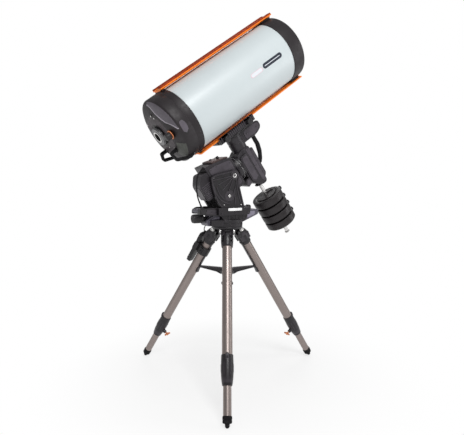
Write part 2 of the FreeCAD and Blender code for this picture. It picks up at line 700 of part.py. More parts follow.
def cord(name, points, radius):
    path, radii = cord_path([Vector(*point) for point in points])
    direction = Vector(*points[1]) - Vector(*points[0])
    section = Part.Wire([Part.Circle(Vector(*points[0]), direction, radius).toShape()])
    solid = path.makePipeShell([section], True, False)
    expected = math.pi * radius ** 2 * path.Length
    if abs(solid.Volume - expected) > 0.01 * expected:
        raise RuntimeError("%s has the wrong volume" % name)
    thing = doc.addObject("Part::Feature", "Cord")
    thing.Shape = solid
    thing.Placement = UPRIGHT
    print(name, "length %.0f, radii %s" % (path.Length, [round(value) for value in radii]))
    return node(name, thing)


MOTOR_LEAD = [
    (-161.2, -46, 1101.5), (-192, -53, 1080), (-207, -63, 1043), (-211, -70, 1000), (-207, -74, 958),
    (-192, -73, 926), (-184, -72, 904),
]
cord("motor_lead", MOTOR_LEAD, size["lead_radius"])

CONTROLLER_CORD = [
    (-75, 78, 833.6), (-76, 82, 817), (-80, 93, 800), (-79, 107, 787), (-74.7, 116.3, 776), (-71.3, 120.4, 765),
]
cord("controller_cord", CONTROLLER_CORD, size["cord_radius"])

# ---------------------------------------------------------------- write the files

doc.recompute()
for thing in nodes:
    bad = [word for word in thing.State if word in ("Invalid", "Error")]
    if bad or thing.Shape.isNull() or not thing.Shape.isValid() or not thing.Shape.Solids:
        raise RuntimeError("%s did not build: %s" % (thing.Label, thing.State))
for thing in nodes:
    thing.Shape.exportStep("parts/%s.step" % thing.Label)
print(len(nodes), "nodes, foot circle radius %.1f, foot height %.1f" % (FOOT_RADIUS, FOOT_HEIGHT))
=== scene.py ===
import json
import math

import bmesh
import bpy
from mathutils import Euler, Matrix, Vector


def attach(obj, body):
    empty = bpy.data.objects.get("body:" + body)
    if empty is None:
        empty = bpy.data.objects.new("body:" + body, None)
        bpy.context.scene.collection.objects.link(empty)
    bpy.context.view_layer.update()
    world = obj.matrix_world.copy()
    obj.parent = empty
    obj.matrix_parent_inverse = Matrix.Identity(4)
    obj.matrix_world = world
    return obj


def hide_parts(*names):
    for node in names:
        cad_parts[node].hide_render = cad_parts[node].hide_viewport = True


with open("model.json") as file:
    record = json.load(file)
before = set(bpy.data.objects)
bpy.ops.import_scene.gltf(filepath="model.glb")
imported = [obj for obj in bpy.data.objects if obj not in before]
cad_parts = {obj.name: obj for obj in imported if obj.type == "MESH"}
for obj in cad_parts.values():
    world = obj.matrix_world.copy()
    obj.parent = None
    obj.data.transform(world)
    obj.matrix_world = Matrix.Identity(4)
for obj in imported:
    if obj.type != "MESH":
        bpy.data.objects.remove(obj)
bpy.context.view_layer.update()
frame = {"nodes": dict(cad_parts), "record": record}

# ---------------------------------------------------------------- frames of reference

MM = 0.001
HERE = Matrix.Identity(4)


def at(x, y, z):
    return Matrix.Translation((x, y, z))


def turn(axis, degrees):
    return Matrix.Rotation(math.radians(degrees), 4, axis)


# Pieces are drawn in millimetres in one of these frames. POLAR has its Z on the polar axis and its
# origin at the altitude pivot, DEC has its X on the declination axis, OPTICAL its Z on the tube's axis.
LATITUDE = 35
ROW = at(-0.067, 0, 0)
POLAR = at(-0.067, 0, 1.066) @ turn("Y", 90 - LATITUDE)
DEC = POLAR @ at(0, 0, 0.140)
OPTICAL = POLAR @ at(-0.366, 0, 0)
ALONG_X = turn("Y", 90)

# A place is a frame and the body that rides on it.
ON_HEAD = (ROW, "tripod_head")
ON_BASE = (ROW, "azimuth_base")
ON_POLAR = (POLAR, "polar_housing")
ON_FLANGE = (POLAR, "declination_housing")
ON_DEC = (DEC, "declination_housing")
ON_SADDLE = (DEC, "saddle")
ON_TUBE = (OPTICAL, "optical_tube")

# A leg's frame has its origin at the foot and its Z up along the leg.
LEG_SLANT = 32.3
LEG_LENGTH = 0.905
LEG_PIVOT = (0.0688, 0, 0.785)
LEG_BEARINGS = {"a": 0, "b": 120, "c": -120}


def leg_frame(letter):
    pivot = turn("Z", LEG_BEARINGS[letter]) @ at(*LEG_PIVOT) @ turn("Y", -LEG_SLANT)
    return ROW @ pivot @ at(0, 0, -LEG_LENGTH)


# ---------------------------------------------------------------- camera

camera_data = bpy.data.cameras.new("camera")
camera_data.lens = 38.15
camera_data.sensor_width = 36
camera = bpy.data.objects.new("camera", camera_data)
bpy.context.scene.collection.objects.link(camera)
camera.location = (-1.3429, -2.2100, 1.0900)
camera.rotation_euler = Euler((math.radians(84.574), 0, math.radians(-30.573)), "XYZ")
bpy.context.scene.camera = camera
bpy.context.scene.view_settings.view_transform = "Standard"

# ---------------------------------------------------------------- materials


class Shader:
    """A material made of nodes: a Principled shader with noise-driven colour, roughness and bump."""

    def __init__(self, name):
        self.material = bpy.data.materials.new(name)
        self.material.use_nodes = True
        self.nodes = self.material.node_tree.nodes
        self.links = self.material.node_tree.links
        self.bsdf = self.nodes["Principled BSDF"]
        self.place = self.nodes.new("ShaderNodeTexCoord").outputs["Object"]

    def set(self, **values):
        for name, value in values.items():
            self.bsdf.inputs[name.replace("_", " ")].default_value = value
        return self

    def stretched(self, x, y, z):
        mapping = self.nodes.new("ShaderNodeMapping")
        mapping.inputs["Scale"].default_value = (x, y, z)
        self.links.new(self.place, mapping.inputs["Vector"])
        return mapping.outputs["Vector"]

    def noise(self, scale, detail=3.0, where=None):
        node = self.nodes.new("ShaderNodeTexNoise")
        node.inputs["Scale"].default_value = scale
        node.inputs["Detail"].default_value = detail
        self.links.new(where or self.place, node.inputs["Vector"])
        return node.outputs["Fac"]

    def ramp(self, source, stops):
        node = self.nodes.new("ShaderNodeValToRGB")
        ramp = node.color_ramp
        while len(ramp.elements) < len(stops):
            ramp.elements.new(0.5)
        for element, (position, colour) in zip(ramp.elements, stops):
            element.position = position
            element.color = colour if len(colour) == 4 else (*colour, 1)
        self.links.new(source, node.inputs["Fac"])
        return node.outputs["Color"]

    def drive(self, name, source):
        self.links.new(source, self.bsdf.inputs[name.replace("_", " ")])
        return self

    def scaled(self, source, low, high, least=0.3, most=0.7):
        """Maps the source's range from least to most onto low to high."""
        node = self.nodes.new("ShaderNodeMapRange")
        for name, value in (("From Min", least), ("From Max", most), ("To Min", low), ("To Max", high)):
            node.inputs[name].default_value = value
        self.links.new(source, node.inputs["Value"])
        return node.outputs["Result"]

    def bump(self, source, strength, distance):
        node = self.nodes.new("ShaderNodeBump")
        node.inputs["Strength"].default_value = strength
        node.inputs["Distance"].default_value = distance
        self.links.new(source, node.inputs["Height"])
        self.links.new(node.outputs["Normal"], self.bsdf.inputs["Normal"])
        return self

    def painted_shade_and_highlight(self, colour, groove_shade=0.2, edge_highlight=2.7):
        """Darkens the colour in grooves as painted shade and lightens it along outer edges as a painted
        highlight, then paints with it.
        """
        tone = self.nodes.new("ShaderNodeHueSaturation")
        parts = []
        # Ambient occlusion gives both: painted shade in hollows, a painted highlight on outer edges.
        for inside, distance, low, high in ((False, 0.014, groove_shade, 1.0), (True, 0.0035, edge_highlight, 1.0)):
            near = self.nodes.new("ShaderNodeAmbientOcclusion")
            near.samples = 8
            near.inside = inside
            near.inputs["Distance"].default_value = distance
            parts.append(self.scaled(near.outputs["AO"], low, high, 0.25, 0.95))
        both = self.nodes.new("ShaderNodeMath")
        both.operation = "MULTIPLY"
        for number, part in enumerate(parts):
            self.links.new(part, both.inputs[number])
        self.links.new(both.outputs["Value"], tone.inputs["Value"])
        self.links.new(colour, tone.inputs["Color"])
        return self.drive("Base_Color", tone.outputs["Color"])


def shade(colour, factor):
    return tuple(min(1.0, channel * factor) for channel in colour)


def surface(name, colour, tones, cloud, rough, spread, grain, painted_shade_and_highlight=False, **values):
    """Noise of its own (scale and detail) drives the colour between two tones, the roughness and the bump."""
    s = Shader(name)
    tint = s.ramp(s.noise(*cloud), [(0.3, shade(colour, tones[0])), (0.7, shade(colour, tones[1]))])
    # Painted shade in grooves and painted highlights on edges, when asked for.
    if painted_shade_and_highlight:
        s.painted_shade_and_highlight(tint)
    else:
        s.drive("Base_Color", tint)
    s.drive("Roughness", s.scaled(s.noise(*rough), *spread))
    scale, strength, distance = grain
    s.bump(s.noise(scale, 2), strength, distance)
    return s.set(**values).material


def powder_coat(name, colour, roughness=0.46, grain=1400.0, strength=0.22):
    spread = (roughness - 0.07, roughness + 0.08)
    # Powder coats take painted shade in grooves and painted highlights on edges.
    return surface(name, colour, (0.82, 1.2), (26, 5), (60, 4), spread, (grain, strength, 0.0004), True,
                   Specular_IOR_Level=0.4)


def plastic(name, colour, roughness=0.42):
    spread = (roughness - 0.06, roughness + 0.08)
    return surface(name, colour, (0.85, 1.25), (40, 3), (180, 3), spread, (2600, 0.15, 0.0003),
                   Specular_IOR_Level=0.34)


def rubber(name, colour):
    return surface(name, colour, (0.8, 1.5), (70, 4), (120, 3), (0.62, 0.82), (1800, 0.3, 0.0003),
                   Specular_IOR_Level=0.05)


def anodised(name, colour, roughness=0.34):
    spread = (roughness - 0.05, roughness + 0.06)
    return surface(name, colour, (0.9, 1.1), (14, 3), (300, 3), spread, (1500, 0.08, 0.0002), Metallic=0.35)


def pearl(name, colour):
    return surface(name, colour, (0.985, 1.01), (8, 3), (30, 3), (0.38, 0.44), (300, 0.012, 0.0004),
                   Coat_Weight=0.2, Coat_Roughness=0.2)


def polished(name, colour, roughness=0.12):
    spread = (roughness - 0.03, roughness + 0.07)
    return surface(name, colour, (0.92, 1.05), (30, 3), (90, 4), spread, (700, 0.04, 0.0002), Metallic=1.0)


def brushed(name, colour, roughness=0.27, across_grain=(900, 900, 4)):
    """Streaks drive both the colour and the bump."""
    s = Shader(name)
    streaks = s.noise(1.0, 4, s.stretched(*across_grain))
    s.drive("Base_Color", s.ramp(streaks, [(0.25, shade(colour, 0.86)), (0.75, shade(colour, 1.08))]))
    s.drive("Roughness", s.scaled(s.noise(9, 2), roughness - 0.05, roughness + 0.08))
    s.bump(streaks, 0.04, 0.0002)
    return s.set(Metallic=1.0).material


def coated_glass(name):
    s = Shader(name)
    s.drive("Base_Color", s.ramp(s.noise(3, 2), [(0.3, (0.90, 0.97, 0.93)), (0.7, (0.93, 0.95, 0.98))]))
    s.drive("Roughness", s.scaled(s.noise(20, 2), 0.0, 0.03))
    return s.set(Transmission_Weight=0.96, IOR=1.5, Alpha=0.35).material


# Each row: maker, name, slot in the record, colour, and what else the maker takes.
FINISHES = (
    (powder_coat, "painted_grey", "painted_grey", (0.021, 0.018, 0.022), 0.36, 1500.0, 0.16),
    (powder_coat, "light_grey", "painted_grey", (0.082, 0.076, 0.098), 0.38),
    (powder_coat, "black_cast", "black_cast", (0.014, 0.012, 0.0145), 0.34, 1200.0, 0.2),
    (brushed, "steel_tube", "steel_tube", (0.30, 0.255, 0.24), 0.4),
    (polished, "bright_steel", "bright_steel", (0.66, 0.65, 0.64), 0.18),
    (brushed, "machined_steel", "machined_steel", (0.55, 0.54, 0.53), 0.3, (500, 500, 500)),
    (polished, "brass", "brass", (0.72, 0.5, 0.22), 0.25),
    (plastic, "black_plastic", "black_plastic", (0.020, 0.0185, 0.020)),
    (rubber, "rubber", "rubber", (0.014, 0.0135, 0.0145)),
    (pearl, "pearl_tube", "pearl_tube", (0.55, 0.605, 0.62)),
    (anodised, "orange_anodised", "orange_anodised", (1.0, 0.225, 0.012), 0.44),
    (anodised, "copper_knob", "copper_knob", (0.55, 0.18, 0.065)),
    (polished, "mirror", "mirror", (0.93, 0.94, 0.96), 0.04),
    (coated_glass, "coated_glass", "coated_glass"),
    (powder_coat, "black_inner", "black_inner", (0.006, 0.006, 0.006), 0.75),
    (powder_coat, "cell_grey", "painted_grey", (0.013, 0.0095, 0.0115), 0.5, 1500.0, 0.16),
    (powder_coat, "panel_grey", "painted_grey", (0.032, 0.028, 0.034), 0.36, 1800.0, 0.12),
    (powder_coat, "panel_light", "painted_grey", (0.034, 0.030, 0.036), 0.36, 1800.0, 0.12),
    (powder_coat, "panel_green", "painted_grey", (0.024, 0.025, 0.022), 0.5),
    (powder_coat, "swoosh_grey", "painted_grey", (0.12, 0.11, 0.125), 0.34, 1800.0, 0.1),
    (powder_coat, "warm_brown", "black_plastic", (0.050, 0.030, 0.028), 0.44),
    (powder_coat, "weight_grey", "painted_grey", (0.014, 0.0108, 0.012), 0.42, 1700.0, 0.2),
    (plastic, "label_white", "painted_grey", (0.78, 0.78, 0.78), 0.4),
    (rubber, "key_rubber", "rubber", (0.10, 0.10, 0.11)),
    (polished, "dark_glass", "black_plastic", (0.02, 0.03, 0.035), 0.08),
    (plastic, "badge_dark", "pearl_tube", (0.025, 0.03, 0.045), 0.35),
    (pearl, "badge_pale", "pearl_tube", (0.70, 0.73, 0.77)),
    (pearl, "badge_pink", "pearl_tube", (0.72, 0.50, 0.56)),
    (rubber, "rail_red", "orange_anodised", (0.24, 0.034, 0.010)),
    (anodised, "rail_dark", "orange_anodised", (0.075, 0.012, 0.006), 0.45),
    (brushed, "port_grey", "machined_steel", (0.17, 0.17, 0.175), 0.35, (400, 400, 400)),
)
MATERIALS = {name: maker(name, *values) for maker, name, _, *values in FINISHES}

SLOT_OF = {part["node"]: part["material_slot"] for part in frame["record"]["subparts"]}
for node_name, shown in frame["nodes"].items():
    shown.data.materials.clear()
    shown.data.materials.append(MATERIALS[SLOT_OF[node_name]])

# ---------------------------------------------------------------- outlines


def outward(side, x, y, z):
    """A place on a face that looks along Y, towards the side's sign, with its own Z pointing out."""
    return at(x, side * y, z) @ turn("X", -90 * side)


def across(side, one, two):
    """The low and high of a layer between two distances out on one side."""
    return sorted((side * one, side * two))


def oblong(left, low, right, high):
    return [(left, low), (right, low), (right, high), (left, high)]


def round_trip(steps):
    """The angles of this many even steps round a circle."""
    return [2 * math.pi * step / steps for step in range(steps)]


def rounded(corners, radius, steps=5):
    """The outline with curved corners; a corner may give its own radius as a third number."""
    outline = []
    count = len(corners)
    for number, corner in enumerate(corners):
        here = Vector(corner[:2])
        wanted = corner[2] if len(corner) > 2 else radius
        before = Vector(corners[number - 1][:2]) - here
        after = Vector(corners[(number + 1) % count][:2]) - here
        reach = min(wanted, 0.48 * before.length, 0.48 * after.length)
        if reach < 0.01:
            outline.append(tuple(here))
            continue
        start = here + before.normalized() * reach
        end = here + after.normalized() * reach
        for step in range(steps + 1):
            part = step / steps
            point = start.lerp(here, part).lerp(here.lerp(end, part), part)
            outline.append(tuple(point))
    return outline


def resampled(corners, count):
    """The closed outline as this many evenly spaced points."""
    lengths = [0.0]
    for number, corner in enumerate(corners):
        after = corners[(number + 1) % len(corners)]
        lengths.append(lengths[-1] + math.dist(corner, after))
    outline, number = [], 0
    for step in range(count):
        wanted = lengths[-1] * step / count
        while lengths[number + 1] < wanted:
            number += 1
        part = (wanted - lengths[number]) / max(lengths[number + 1] - lengths[number], 1e-9)
        here, after = corners[number], corners[(number + 1) % len(corners)]
        outline.append((here[0] + (after[0] - here[0]) * part, here[1] + (after[1] - here[1]) * part))
    return outline


def ribbon(corners, width, steps=6):
    """The outline of a band of this width along a smooth curve through (x, z) points."""
    line = [corners[0]] + list(corners) + [corners[-1]]
    curve = []
    for p0, p1, p2, p3 in zip(line, line[1:], line[2:], line[3:]):
        for step in range(steps):
            t = step / steps
            curve.append(Vector([
                0.5 * (2 * b + (c - a) * t + (2 * a - 5 * b + 4 * c - d) * t * t
                       + (3 * b - 3 * c + d - a) * t ** 3)
                for a, b, c, d in zip(p0, p1, p2, p3)
            ]))
    curve.append(Vector(corners[-1]))
    left, right = [], []
    for number, point in enumerate(curve):
        along = curve[min(number + 1, len(curve) - 1)] - curve[max(number - 1, 0)]
        aside = Vector((-along.y, along.x)).normalized() * width / 2
        left.append(tuple(point + aside))
        right.append(tuple(point - aside))
    return left + right[::-1]


def along_line(corners, part):
    """The point this share of the way along an open line of (x, z) corners."""
    lengths = [math.dist(one, two) for one, two in zip(corners, corners[1:])]
    left = part * sum(lengths)
    for one, two, length in zip(corners, corners[1:], lengths):
        if left <= length or two is corners[-1]:
            share = min(1, left / length)
            return one[0] + (two[0] - one[0]) * share, one[1] + (two[1] - one[1]) * share
        left -= length


# ---------------------------------------------------------------- mesh building


class Build:
    """Collects solids into one mesh."""

    def __init__(self):
        self.mesh = bmesh.new()

    def points(self, places, place=HERE):
        return [self.mesh.verts.new(place @ Vector(spot)) for spot in places]

    def band(self, one, two):
        """Faces between two closed rows of equally many corners."""
        for number in range(len(one)):
            after = (number + 1) % len(one)
            self.mesh.faces.new((one[number], one[after], two[after], two[number]))

    def lathe(self, profile, place=HERE, steps=72):
        """Turns a closed (radius, z) profile round Z."""
        rings = []
        for angle in round_trip(steps):
            rings.append(
                self.points([(r * math.cos(angle), r * math.sin(angle), z) for r, z in profile], place)
            )
        ends = list(zip(profile, profile[1:] + profile[:1]))
        for one, two in zip(rings, rings[1:] + rings[:1]):
            for number, (here, after) in enumerate(ends):
                if here[0] or after[0]:
                    following = (number + 1) % len(profile)
                    self.mesh.faces.new((one[number], one[following], two[following], two[number]))

    def rod(self, radius, low, high, place=HERE, steps=32):
        self.lathe([(0, low), (radius, low), (radius, high), (0, high)], place, steps)

    def ring(self, inner, outer, low, high, place=HERE, steps=64):
        self.lathe([(inner, low), (outer, low), (outer, high), (inner, high)], place, steps)

    def prism(self, corners, low, high, place=HERE):
        """Corners are (x, z); the solid lies between y = low and y = high."""
        front, back = (self.points([(x, y, z) for x, z in corners], place) for y in (low, high))
        self.mesh.faces.new(front)
        self.mesh.faces.new(back[::-1])
        for number in range(len(corners)):
            after = (number + 1) % len(corners)
            self.mesh.faces.new((front[after], front[number], back[number], back[after]))

    def plate(self, corners, radius, low, high, place=HERE):
        """A prism with rounded corners."""
        self.prism(rounded(corners, radius), low, high, place)

    def slab(self, corners, low, high, place=HERE):
        """Corners are (x, y); the solid lies between z = low and z = high."""
        self.prism([(x, -y) for x, y in corners], low, high, place @ turn("X", 90))

    def box(self, low, high, place=HERE):
        self.prism(oblong(low[0], low[2], high[0], high[2]), low[1], high[1], place)

    def frame(self, outer, inner, low, high, place=HERE):
        """A flat ring between two outlines of equal length, corners (x, z), from y = low to y = high."""
        rows = []
        for corners, y in ((outer, low), (inner, low), (inner, high), (outer, high)):
            rows.append(self.points([(x, y, z) for x, z in corners], place))
        for one, two in zip(rows, rows[1:] + rows[:1]):
            self.band(one, two)

    def loft(self, sections, place=HERE):
        """Joins outlines of equal length, each a list of three-number points, into a closed skin."""
        rows = [self.points(section, place) for section in sections]
        for one, two in zip(rows, rows[1:]):
            self.band(one, two)
        self.mesh.faces.new(rows[0][::-1])
        self.mesh.faces.new(rows[-1])

    def screw_head(self, radius, height, place, steps=24):
        """A socket-headed screw standing on the local z = 0 face."""
        self.lathe([
            (0, 0), (radius, 0), (radius, height * 0.8), (radius * 0.86, height), (radius * 0.5, height),
            (radius * 0.45, height * 0.4), (0, height * 0.4),
        ], place, steps)

    def screws(self, radius, height, side, y, spots, steps=24):
        """Screw heads at (x, z) spots on a face that far out on one side."""
        for x, z in spots:
            self.screw_head(radius, height, outward(side, x, y, z), steps)

    def ridges(self, inner, outer, half_width, low, high, every, place=HERE, first=0):
        """Straight ridges along Z on a round part, one every so many degrees."""
        for angle in range(first, first + 360, every):
            self.box((inner, -half_width, low), (outer, half_width, high), place @ turn("Z", angle))


SHARP_ANGLE = math.radians(34)


def settle(name, data, where, look, body, replaced):
    """Puts the mesh or curve into the scene as a piece that rides on its body."""
    data.materials.append(MATERIALS[look])
    thing = bpy.data.objects.new(name, data)
    bpy.context.scene.collection.objects.link(thing)
    thing.matrix_world = where
    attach(thing, body)
    if replaced:
        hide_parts(*replaced)
    return thing


def piece(name, build, place, look, replaced=(), bevel=0.8, steps=2):
    mesh = bpy.data.meshes.new(name)
    bmesh.ops.remove_doubles(build.mesh, verts=build.mesh.verts, dist=0.0005)
    bmesh.ops.recalc_face_normals(build.mesh, faces=build.mesh.faces)
    bmesh.ops.scale(build.mesh, vec=(MM, MM, MM), verts=build.mesh.verts)
    build.mesh.to_mesh(mesh)
    build.mesh.free()
    for face in mesh.polygons:
        face.use_smooth = True
    mesh.set_sharp_from_angle(angle=SHARP_ANGLE)
    where, body = place
    thing = settle(name, mesh, where, look, body, replaced)
    if bevel:
        edge = thing.modifiers.new("edges", "BEVEL")
        edge.width = bevel * MM
        edge.segments = steps
        edge.limit_method = "ANGLE"
        edge.angle_limit = SHARP_ANGLE
        edge.use_clamp_overlap = True
        edge.harden_normals = False
    return thing


def wire(name, points, radius, place, look, replaced):
    """A round bar that follows a smooth line through or near its points, in millimetres."""
    data = bpy.data.curves.new(name, "CURVE")
    data.dimensions = "3D"
    line = data.splines.new("NURBS")
    line.points.add(len(points) - 1)
    for point, spot in zip(line.points, points):
        point.co = (*(number * MM for number in spot), 1)
    line.order_u = 3
    line.use_endpoint_u = True
    line.resolution_u = 10
    data.bevel_depth = radius * MM
    data.bevel_resolution = 5
    data.use_fill_caps = True
    where, body = place
    return settle(name, data, where, look, body, replaced)


# ---------------------------------------------------------------- tripod


def tripod_head():
    b = Build()
    b.lathe([(6, 793), (79, 793), (80, 795), (80, 804), (79, 804.8), (6, 804.8)])
    b.lathe([(6, 752), (30, 752), (36, 758), (36, 793), (6, 793)])
    for bearing in LEG_BEARINGS.values():
        lug = [(30, 768), (68.8, 768, 8), (85.6, 776, 12), (85.6, 792, 2), (30, 792)]
        b.plate(lug, 0, -12.8, 12.8, turn("Z", bearing))
    piece("head_casting", b, ON_HEAD, "black_cast", ["tripod_head"])

    b = Build()
    bolt = [(0, 0), (11, 0), (11, 1.5), (9.5, 2), (9.5, 7), (8.5, 8.4), (5, 8.4), (4.6, 4.5), (0, 4.5)]
    for bearing in LEG_BEARINGS.values():
        for side in (-1, 1):
            b.lathe(bolt, turn("Z", bearing) @ outward(side, 68.8, 31.2, 785), 32)
    piece("head_bolts", b, ON_HEAD, "bright_steel", ["leg_pins"], 0.3)

    b = Build()
    thread = [(0, 428), (4.4, 428)]
    for level in range(430, 748, 3):
        thread += [(6, level), (5.2, level + 1.5)]
    thread += [(6, 750), (6, 760), (0, 760)]
    b.lathe(thread, steps=24)
    b.lathe(oblong(6, 742.5, 12, 748), steps=6)
    piece("threaded_rod", b, ON_HEAD, "machined_steel", ["centre_rod"], 0)


def leg(letter):
    where = leg_frame(letter)
    body = "leg_" + letter

    b = Build()
    b.ring(22.6, 24.2, 165, 860, steps=96)
    piece(body + "_upper_steel", b, (where, body), "steel_tube", [body + "_tube"], 0)

    b = Build()
    b.ring(16.9, 18.5, 18, 560, steps=80)
    b.lathe([(18.4, 118), (18.75, 118.4), (18.75, 119.6), (18.4, 120)], steps=80)
    piece(body + "_lower_steel", b, (where, body + "_lower"), "steel_tube", [body + "_lower_tube"], 0)

    # Top casting: a socket that narrows into two ears round the head's lug.
    b = Build()
    b.lathe([
        (24.3, 815), (27.6, 815), (28.6, 817), (29.4, 824), (31.2, 846), (31.6, 872), (29, 884),
        (24.3, 886),
    ], steps=72)
    for side in (-1, 1):
        ear = [
            (-31, 868, 2), (-20, 888, 12), (-17, 903, 14), (0, 922.5, 16), (17, 903, 14), (24, 884, 12),
            (31, 868, 2),
        ]
        b.plate(ear, 8, *across(side, 13.6, 30.8))
        web = [(-29, 838), (29, 838), (31, 872), (-31, 872)]
        b.plate(web, 1, *across(side, 25, 27))
    b.box((-20, -13.6, 874), (20, 13.6, 882))
    for side in (-1, 1):
        b.screw_head(4, 3.4, at(side * 22, 18, 851) @ turn("Y", 90 * side))
    piece(body + "_top_casting", b, (where, body), "black_cast", [body + "_fittings"], 1.6, 3)

    # Clamp collar: a long barrel with a split clamp at its lower end.
    b = Build()
    b.lathe([
        (24.3, 168), (24.3, 286), (26.6, 286.8), (27.6, 285), (27.8, 278), (28.3, 262), (29, 236),
        (28.6, 206), (26.8, 180), (24.2, 162), (22.4, 153), (21.2, 152), (19.2, 152.4), (19.2, 168),
    ], steps=80)
    for angle in range(0, 360, 30):
        if angle % 180:
            rib = [(27, 252), (29.6, 244), (29.6, 214), (27, 196)]
            b.plate(rib, 2, -1.4, 1.4, turn("Z", angle))
    cross = at(0, 0, 200) @ ALONG_X
    b.lathe([(0, -44), (7.6, -44), (9, -42.6), (10.5, -30), (13, -26), (0, -26)], cross, 36)
    b.lathe([(0, 26), (9, 26), (8, 31), (6, 33.5), (0, 34)], at(0, 0, 279) @ turn("Y", 78), 28)
    b.plate([(22, 292), (33, 286), (31, 268), (24, 262)], 3, -6, 6)
    piece(body + "_collar", b, (where, body), "black_cast", (), 0.7)

    b = Build()
    b.rod(4, -56, -22, cross, 20)
    b.lathe([(0, -64), (6, -64), (8, -62), (8.4, -55), (6, -51), (0, -51)], cross, 28)
    wing = [
        (-23, -58), (-21, -63.5), (-9, -60), (0, -62), (9, -60), (21, -63.5), (23, -58), (20, -53.5),
        (8, -54), (-8, -54), (-20, -53.5),
    ]
    b.plate(wing, 3, -3.6, 3.6, cross @ turn("Z", 90))
    piece(body + "_t_knob", b, (where, body + "_knob"), "copper_knob", [body + "_knob"], 0.9, 3)

    b = Build()
    b.lathe([
        (0, -20), (4, -19.6), (8, -17), (10, -12), (10.4, -4), (12.5, -2), (19, 0), (20.6, 2.5), (20.9, 6),
        (20.9, 12), (19.9, 12.8), (19.9, 14), (20.9, 14.8), (20.9, 26), (19.8, 29), (18.6, 29.4),
        (18.6, 20), (0, 20),
    ], steps=64)
    b.ridges(20.2, 21.4, 1, 15, 25.5, 20)
    piece(body + "_rubber_foot", b, (where, body + "_lower"), "rubber", [body + "_foot"], 0.5)

    # The flat stay on the inner side of the leg, from the casting down to the spreader arm.
    b = Build()
    stay = [(-27, 640), (-24.6, 640), (-24.6, 816), (-30, 838), (-33, 838), (-27, 812)]
    b.plate(stay, 1.5, -7, 7)
    b.plate([(-32, 634), (-24.4, 634), (-24.4, 662), (-28, 662)], 2, -11, 11)
    piece(body + "_stay", b, (where, body), "black_cast", (), 0.8)


def spreader():
    hub = 574
    b = Build()
    b.lathe([
        (6.6, hub - 60), (18, hub - 60), (20, hub - 57), (20, hub - 44), (24, hub - 34), (33, hub - 18),
        (35.4, hub - 12), (35.6, hub + 4), (33, hub + 8), (15, hub + 10), (14, hub + 13.6), (6.6, hub + 14),
    ])
    for bearing in LEG_BEARINGS.values():
        place = turn("Z", bearing)
        flange = [(20, hub + 8), (168.6, hub + 5), (169.4, hub + 1), (100, hub + 1), (20, hub - 2)]
        b.plate(flange, 0.6, -9, 9, place)
        web = [
            (20, hub + 6), (160, hub + 3), (171, hub - 2), (172, hub - 5), (62, hub - 17), (34, hub - 27),
            (20, hub - 34),
        ]
        b.plate(web, 3, -3.4, 3.4, place)
        foot = [(150, hub + 4), (169.6, hub + 4), (174.4, hub - 5), (152, hub - 6)]
        b.plate(foot, 2, -8, 8, place)
        lip = [
            (36, hub - 24), (62, hub - 14), (160, hub - 3), (160, hub - 5.6), (62, hub - 18),
            (36, hub - 28),
        ]
        b.plate(lip, 1, -7, 7, place)
    piece("spreader_casting", b, (ROW, "spreader"), "black_cast", ["spreader"], 1.2, 3)

    b = Build()
    b.lathe([(6.3, 486), (13, 486), (15, 488), (16, 494), (16, 505), (13.8, 510), (13.8, 514), (6.3, 514)])
    rim = []
    for angle in round_trip(96):
        reach = 30 + 2 * math.cos(8 * angle)
        rim.append((reach * math.cos(angle), reach * math.sin(angle)))
    b.slab(rim, 494, 505.6)
    piece("tension_wheel", b, (ROW, "tension_knob"), "black_plastic", ["tension_knob"], 1.4, 3)


def hand_control():
    where = leg_frame("b")
    low = 742
    b = Build()
    b.ring(24.3, 32.6, low, low + 46, steps=80)
    b.plate(oblong(24, low + 2, 36, low + 44), 1, -20, 20)
    wall = [
        (30, low), (55, low, 8), (57.6, low + 10), (57.6, low + 36), (55, low + 46, 8), (30, low + 46),
    ]
    for side in (-1, 1):
        b.plate(wall, 2, *across(side, 25.4, 29.8))
        b.plate(oblong(-9, low + 6, 9, low + 40), 3, *across(side, 26, 39))
    b.plate(oblong(30, low, 36, low + 46), 0.5, -29, 29)
    b.screw_head(5, 4, at(0, 39, low + 23) @ turn("X", -90))
    piece("holder_clip", b, (where, "leg_b"), "black_plastic", ["controller_holder"], 1.0, 3)

    # The handset narrows at its waist and has a raised display head.
    b = Build()
    outline = [
        (-20, low - 82, 9), (20, low - 82, 9), (22.6, low - 30), (24.4, low + 20), (24.5, low + 90, 14),
        (12, low + 105, 14), (-12, low + 105, 14), (-24.5, low + 90, 14), (-24.4, low + 20),
        (-22.6, low - 30),
    ]
    lay = Matrix(((0, 1, 0, 0), (1, 0, 0, 0), (0, 0, 1, 0), (0, 0, 0, 1)))
    b.plate(outline, 10, 37, 57, lay)
    b.plate([(-21, low + 52), (21, low + 52), (20, low + 98), (-20, low + 98)], 9, 56, 60, lay)
    b.lathe([(0, 0), (5, 0), (5, 7), (3.4, 13), (0, 13)], at(48, 0, low + 104), 24)
    piece("handset_body", b, (where, "hand_controller"), "black_plastic", ["hand_controller"], 2.4, 4)

    b = Build()
    key_pitch = 14
    for level in range(low - 66, low + 4, key_pitch):
        for middle in (-key_pitch, 0, key_pitch):
            b.plate(oblong(middle - 4.6, level, middle + 4.6, level + 8), 2.4, 56.5, 59.8, lay)
    for middle in (-13, 0, 13):
        b.lathe([(0, 0), (5, 0), (4.4, 2.4), (0, 3)], at(57, middle, low + 20) @ ALONG_X, 24)
    piece("handset_keys", b, (where, "hand_controller"), "key_rubber", (), 0.6)

    b = Build()
    b.plate(oblong(-15, low + 66, 15, low + 86), 2, 59.6, 60.8, lay)
    piece("handset_display", b, (where, "hand_controller"), "dark_glass", (), 0.3)


tripod_head()
for leg_letter in LEG_BEARINGS:
    leg(leg_letter)
spreader()
hand_control()

# ---------------------------------------------------------------- azimuth base


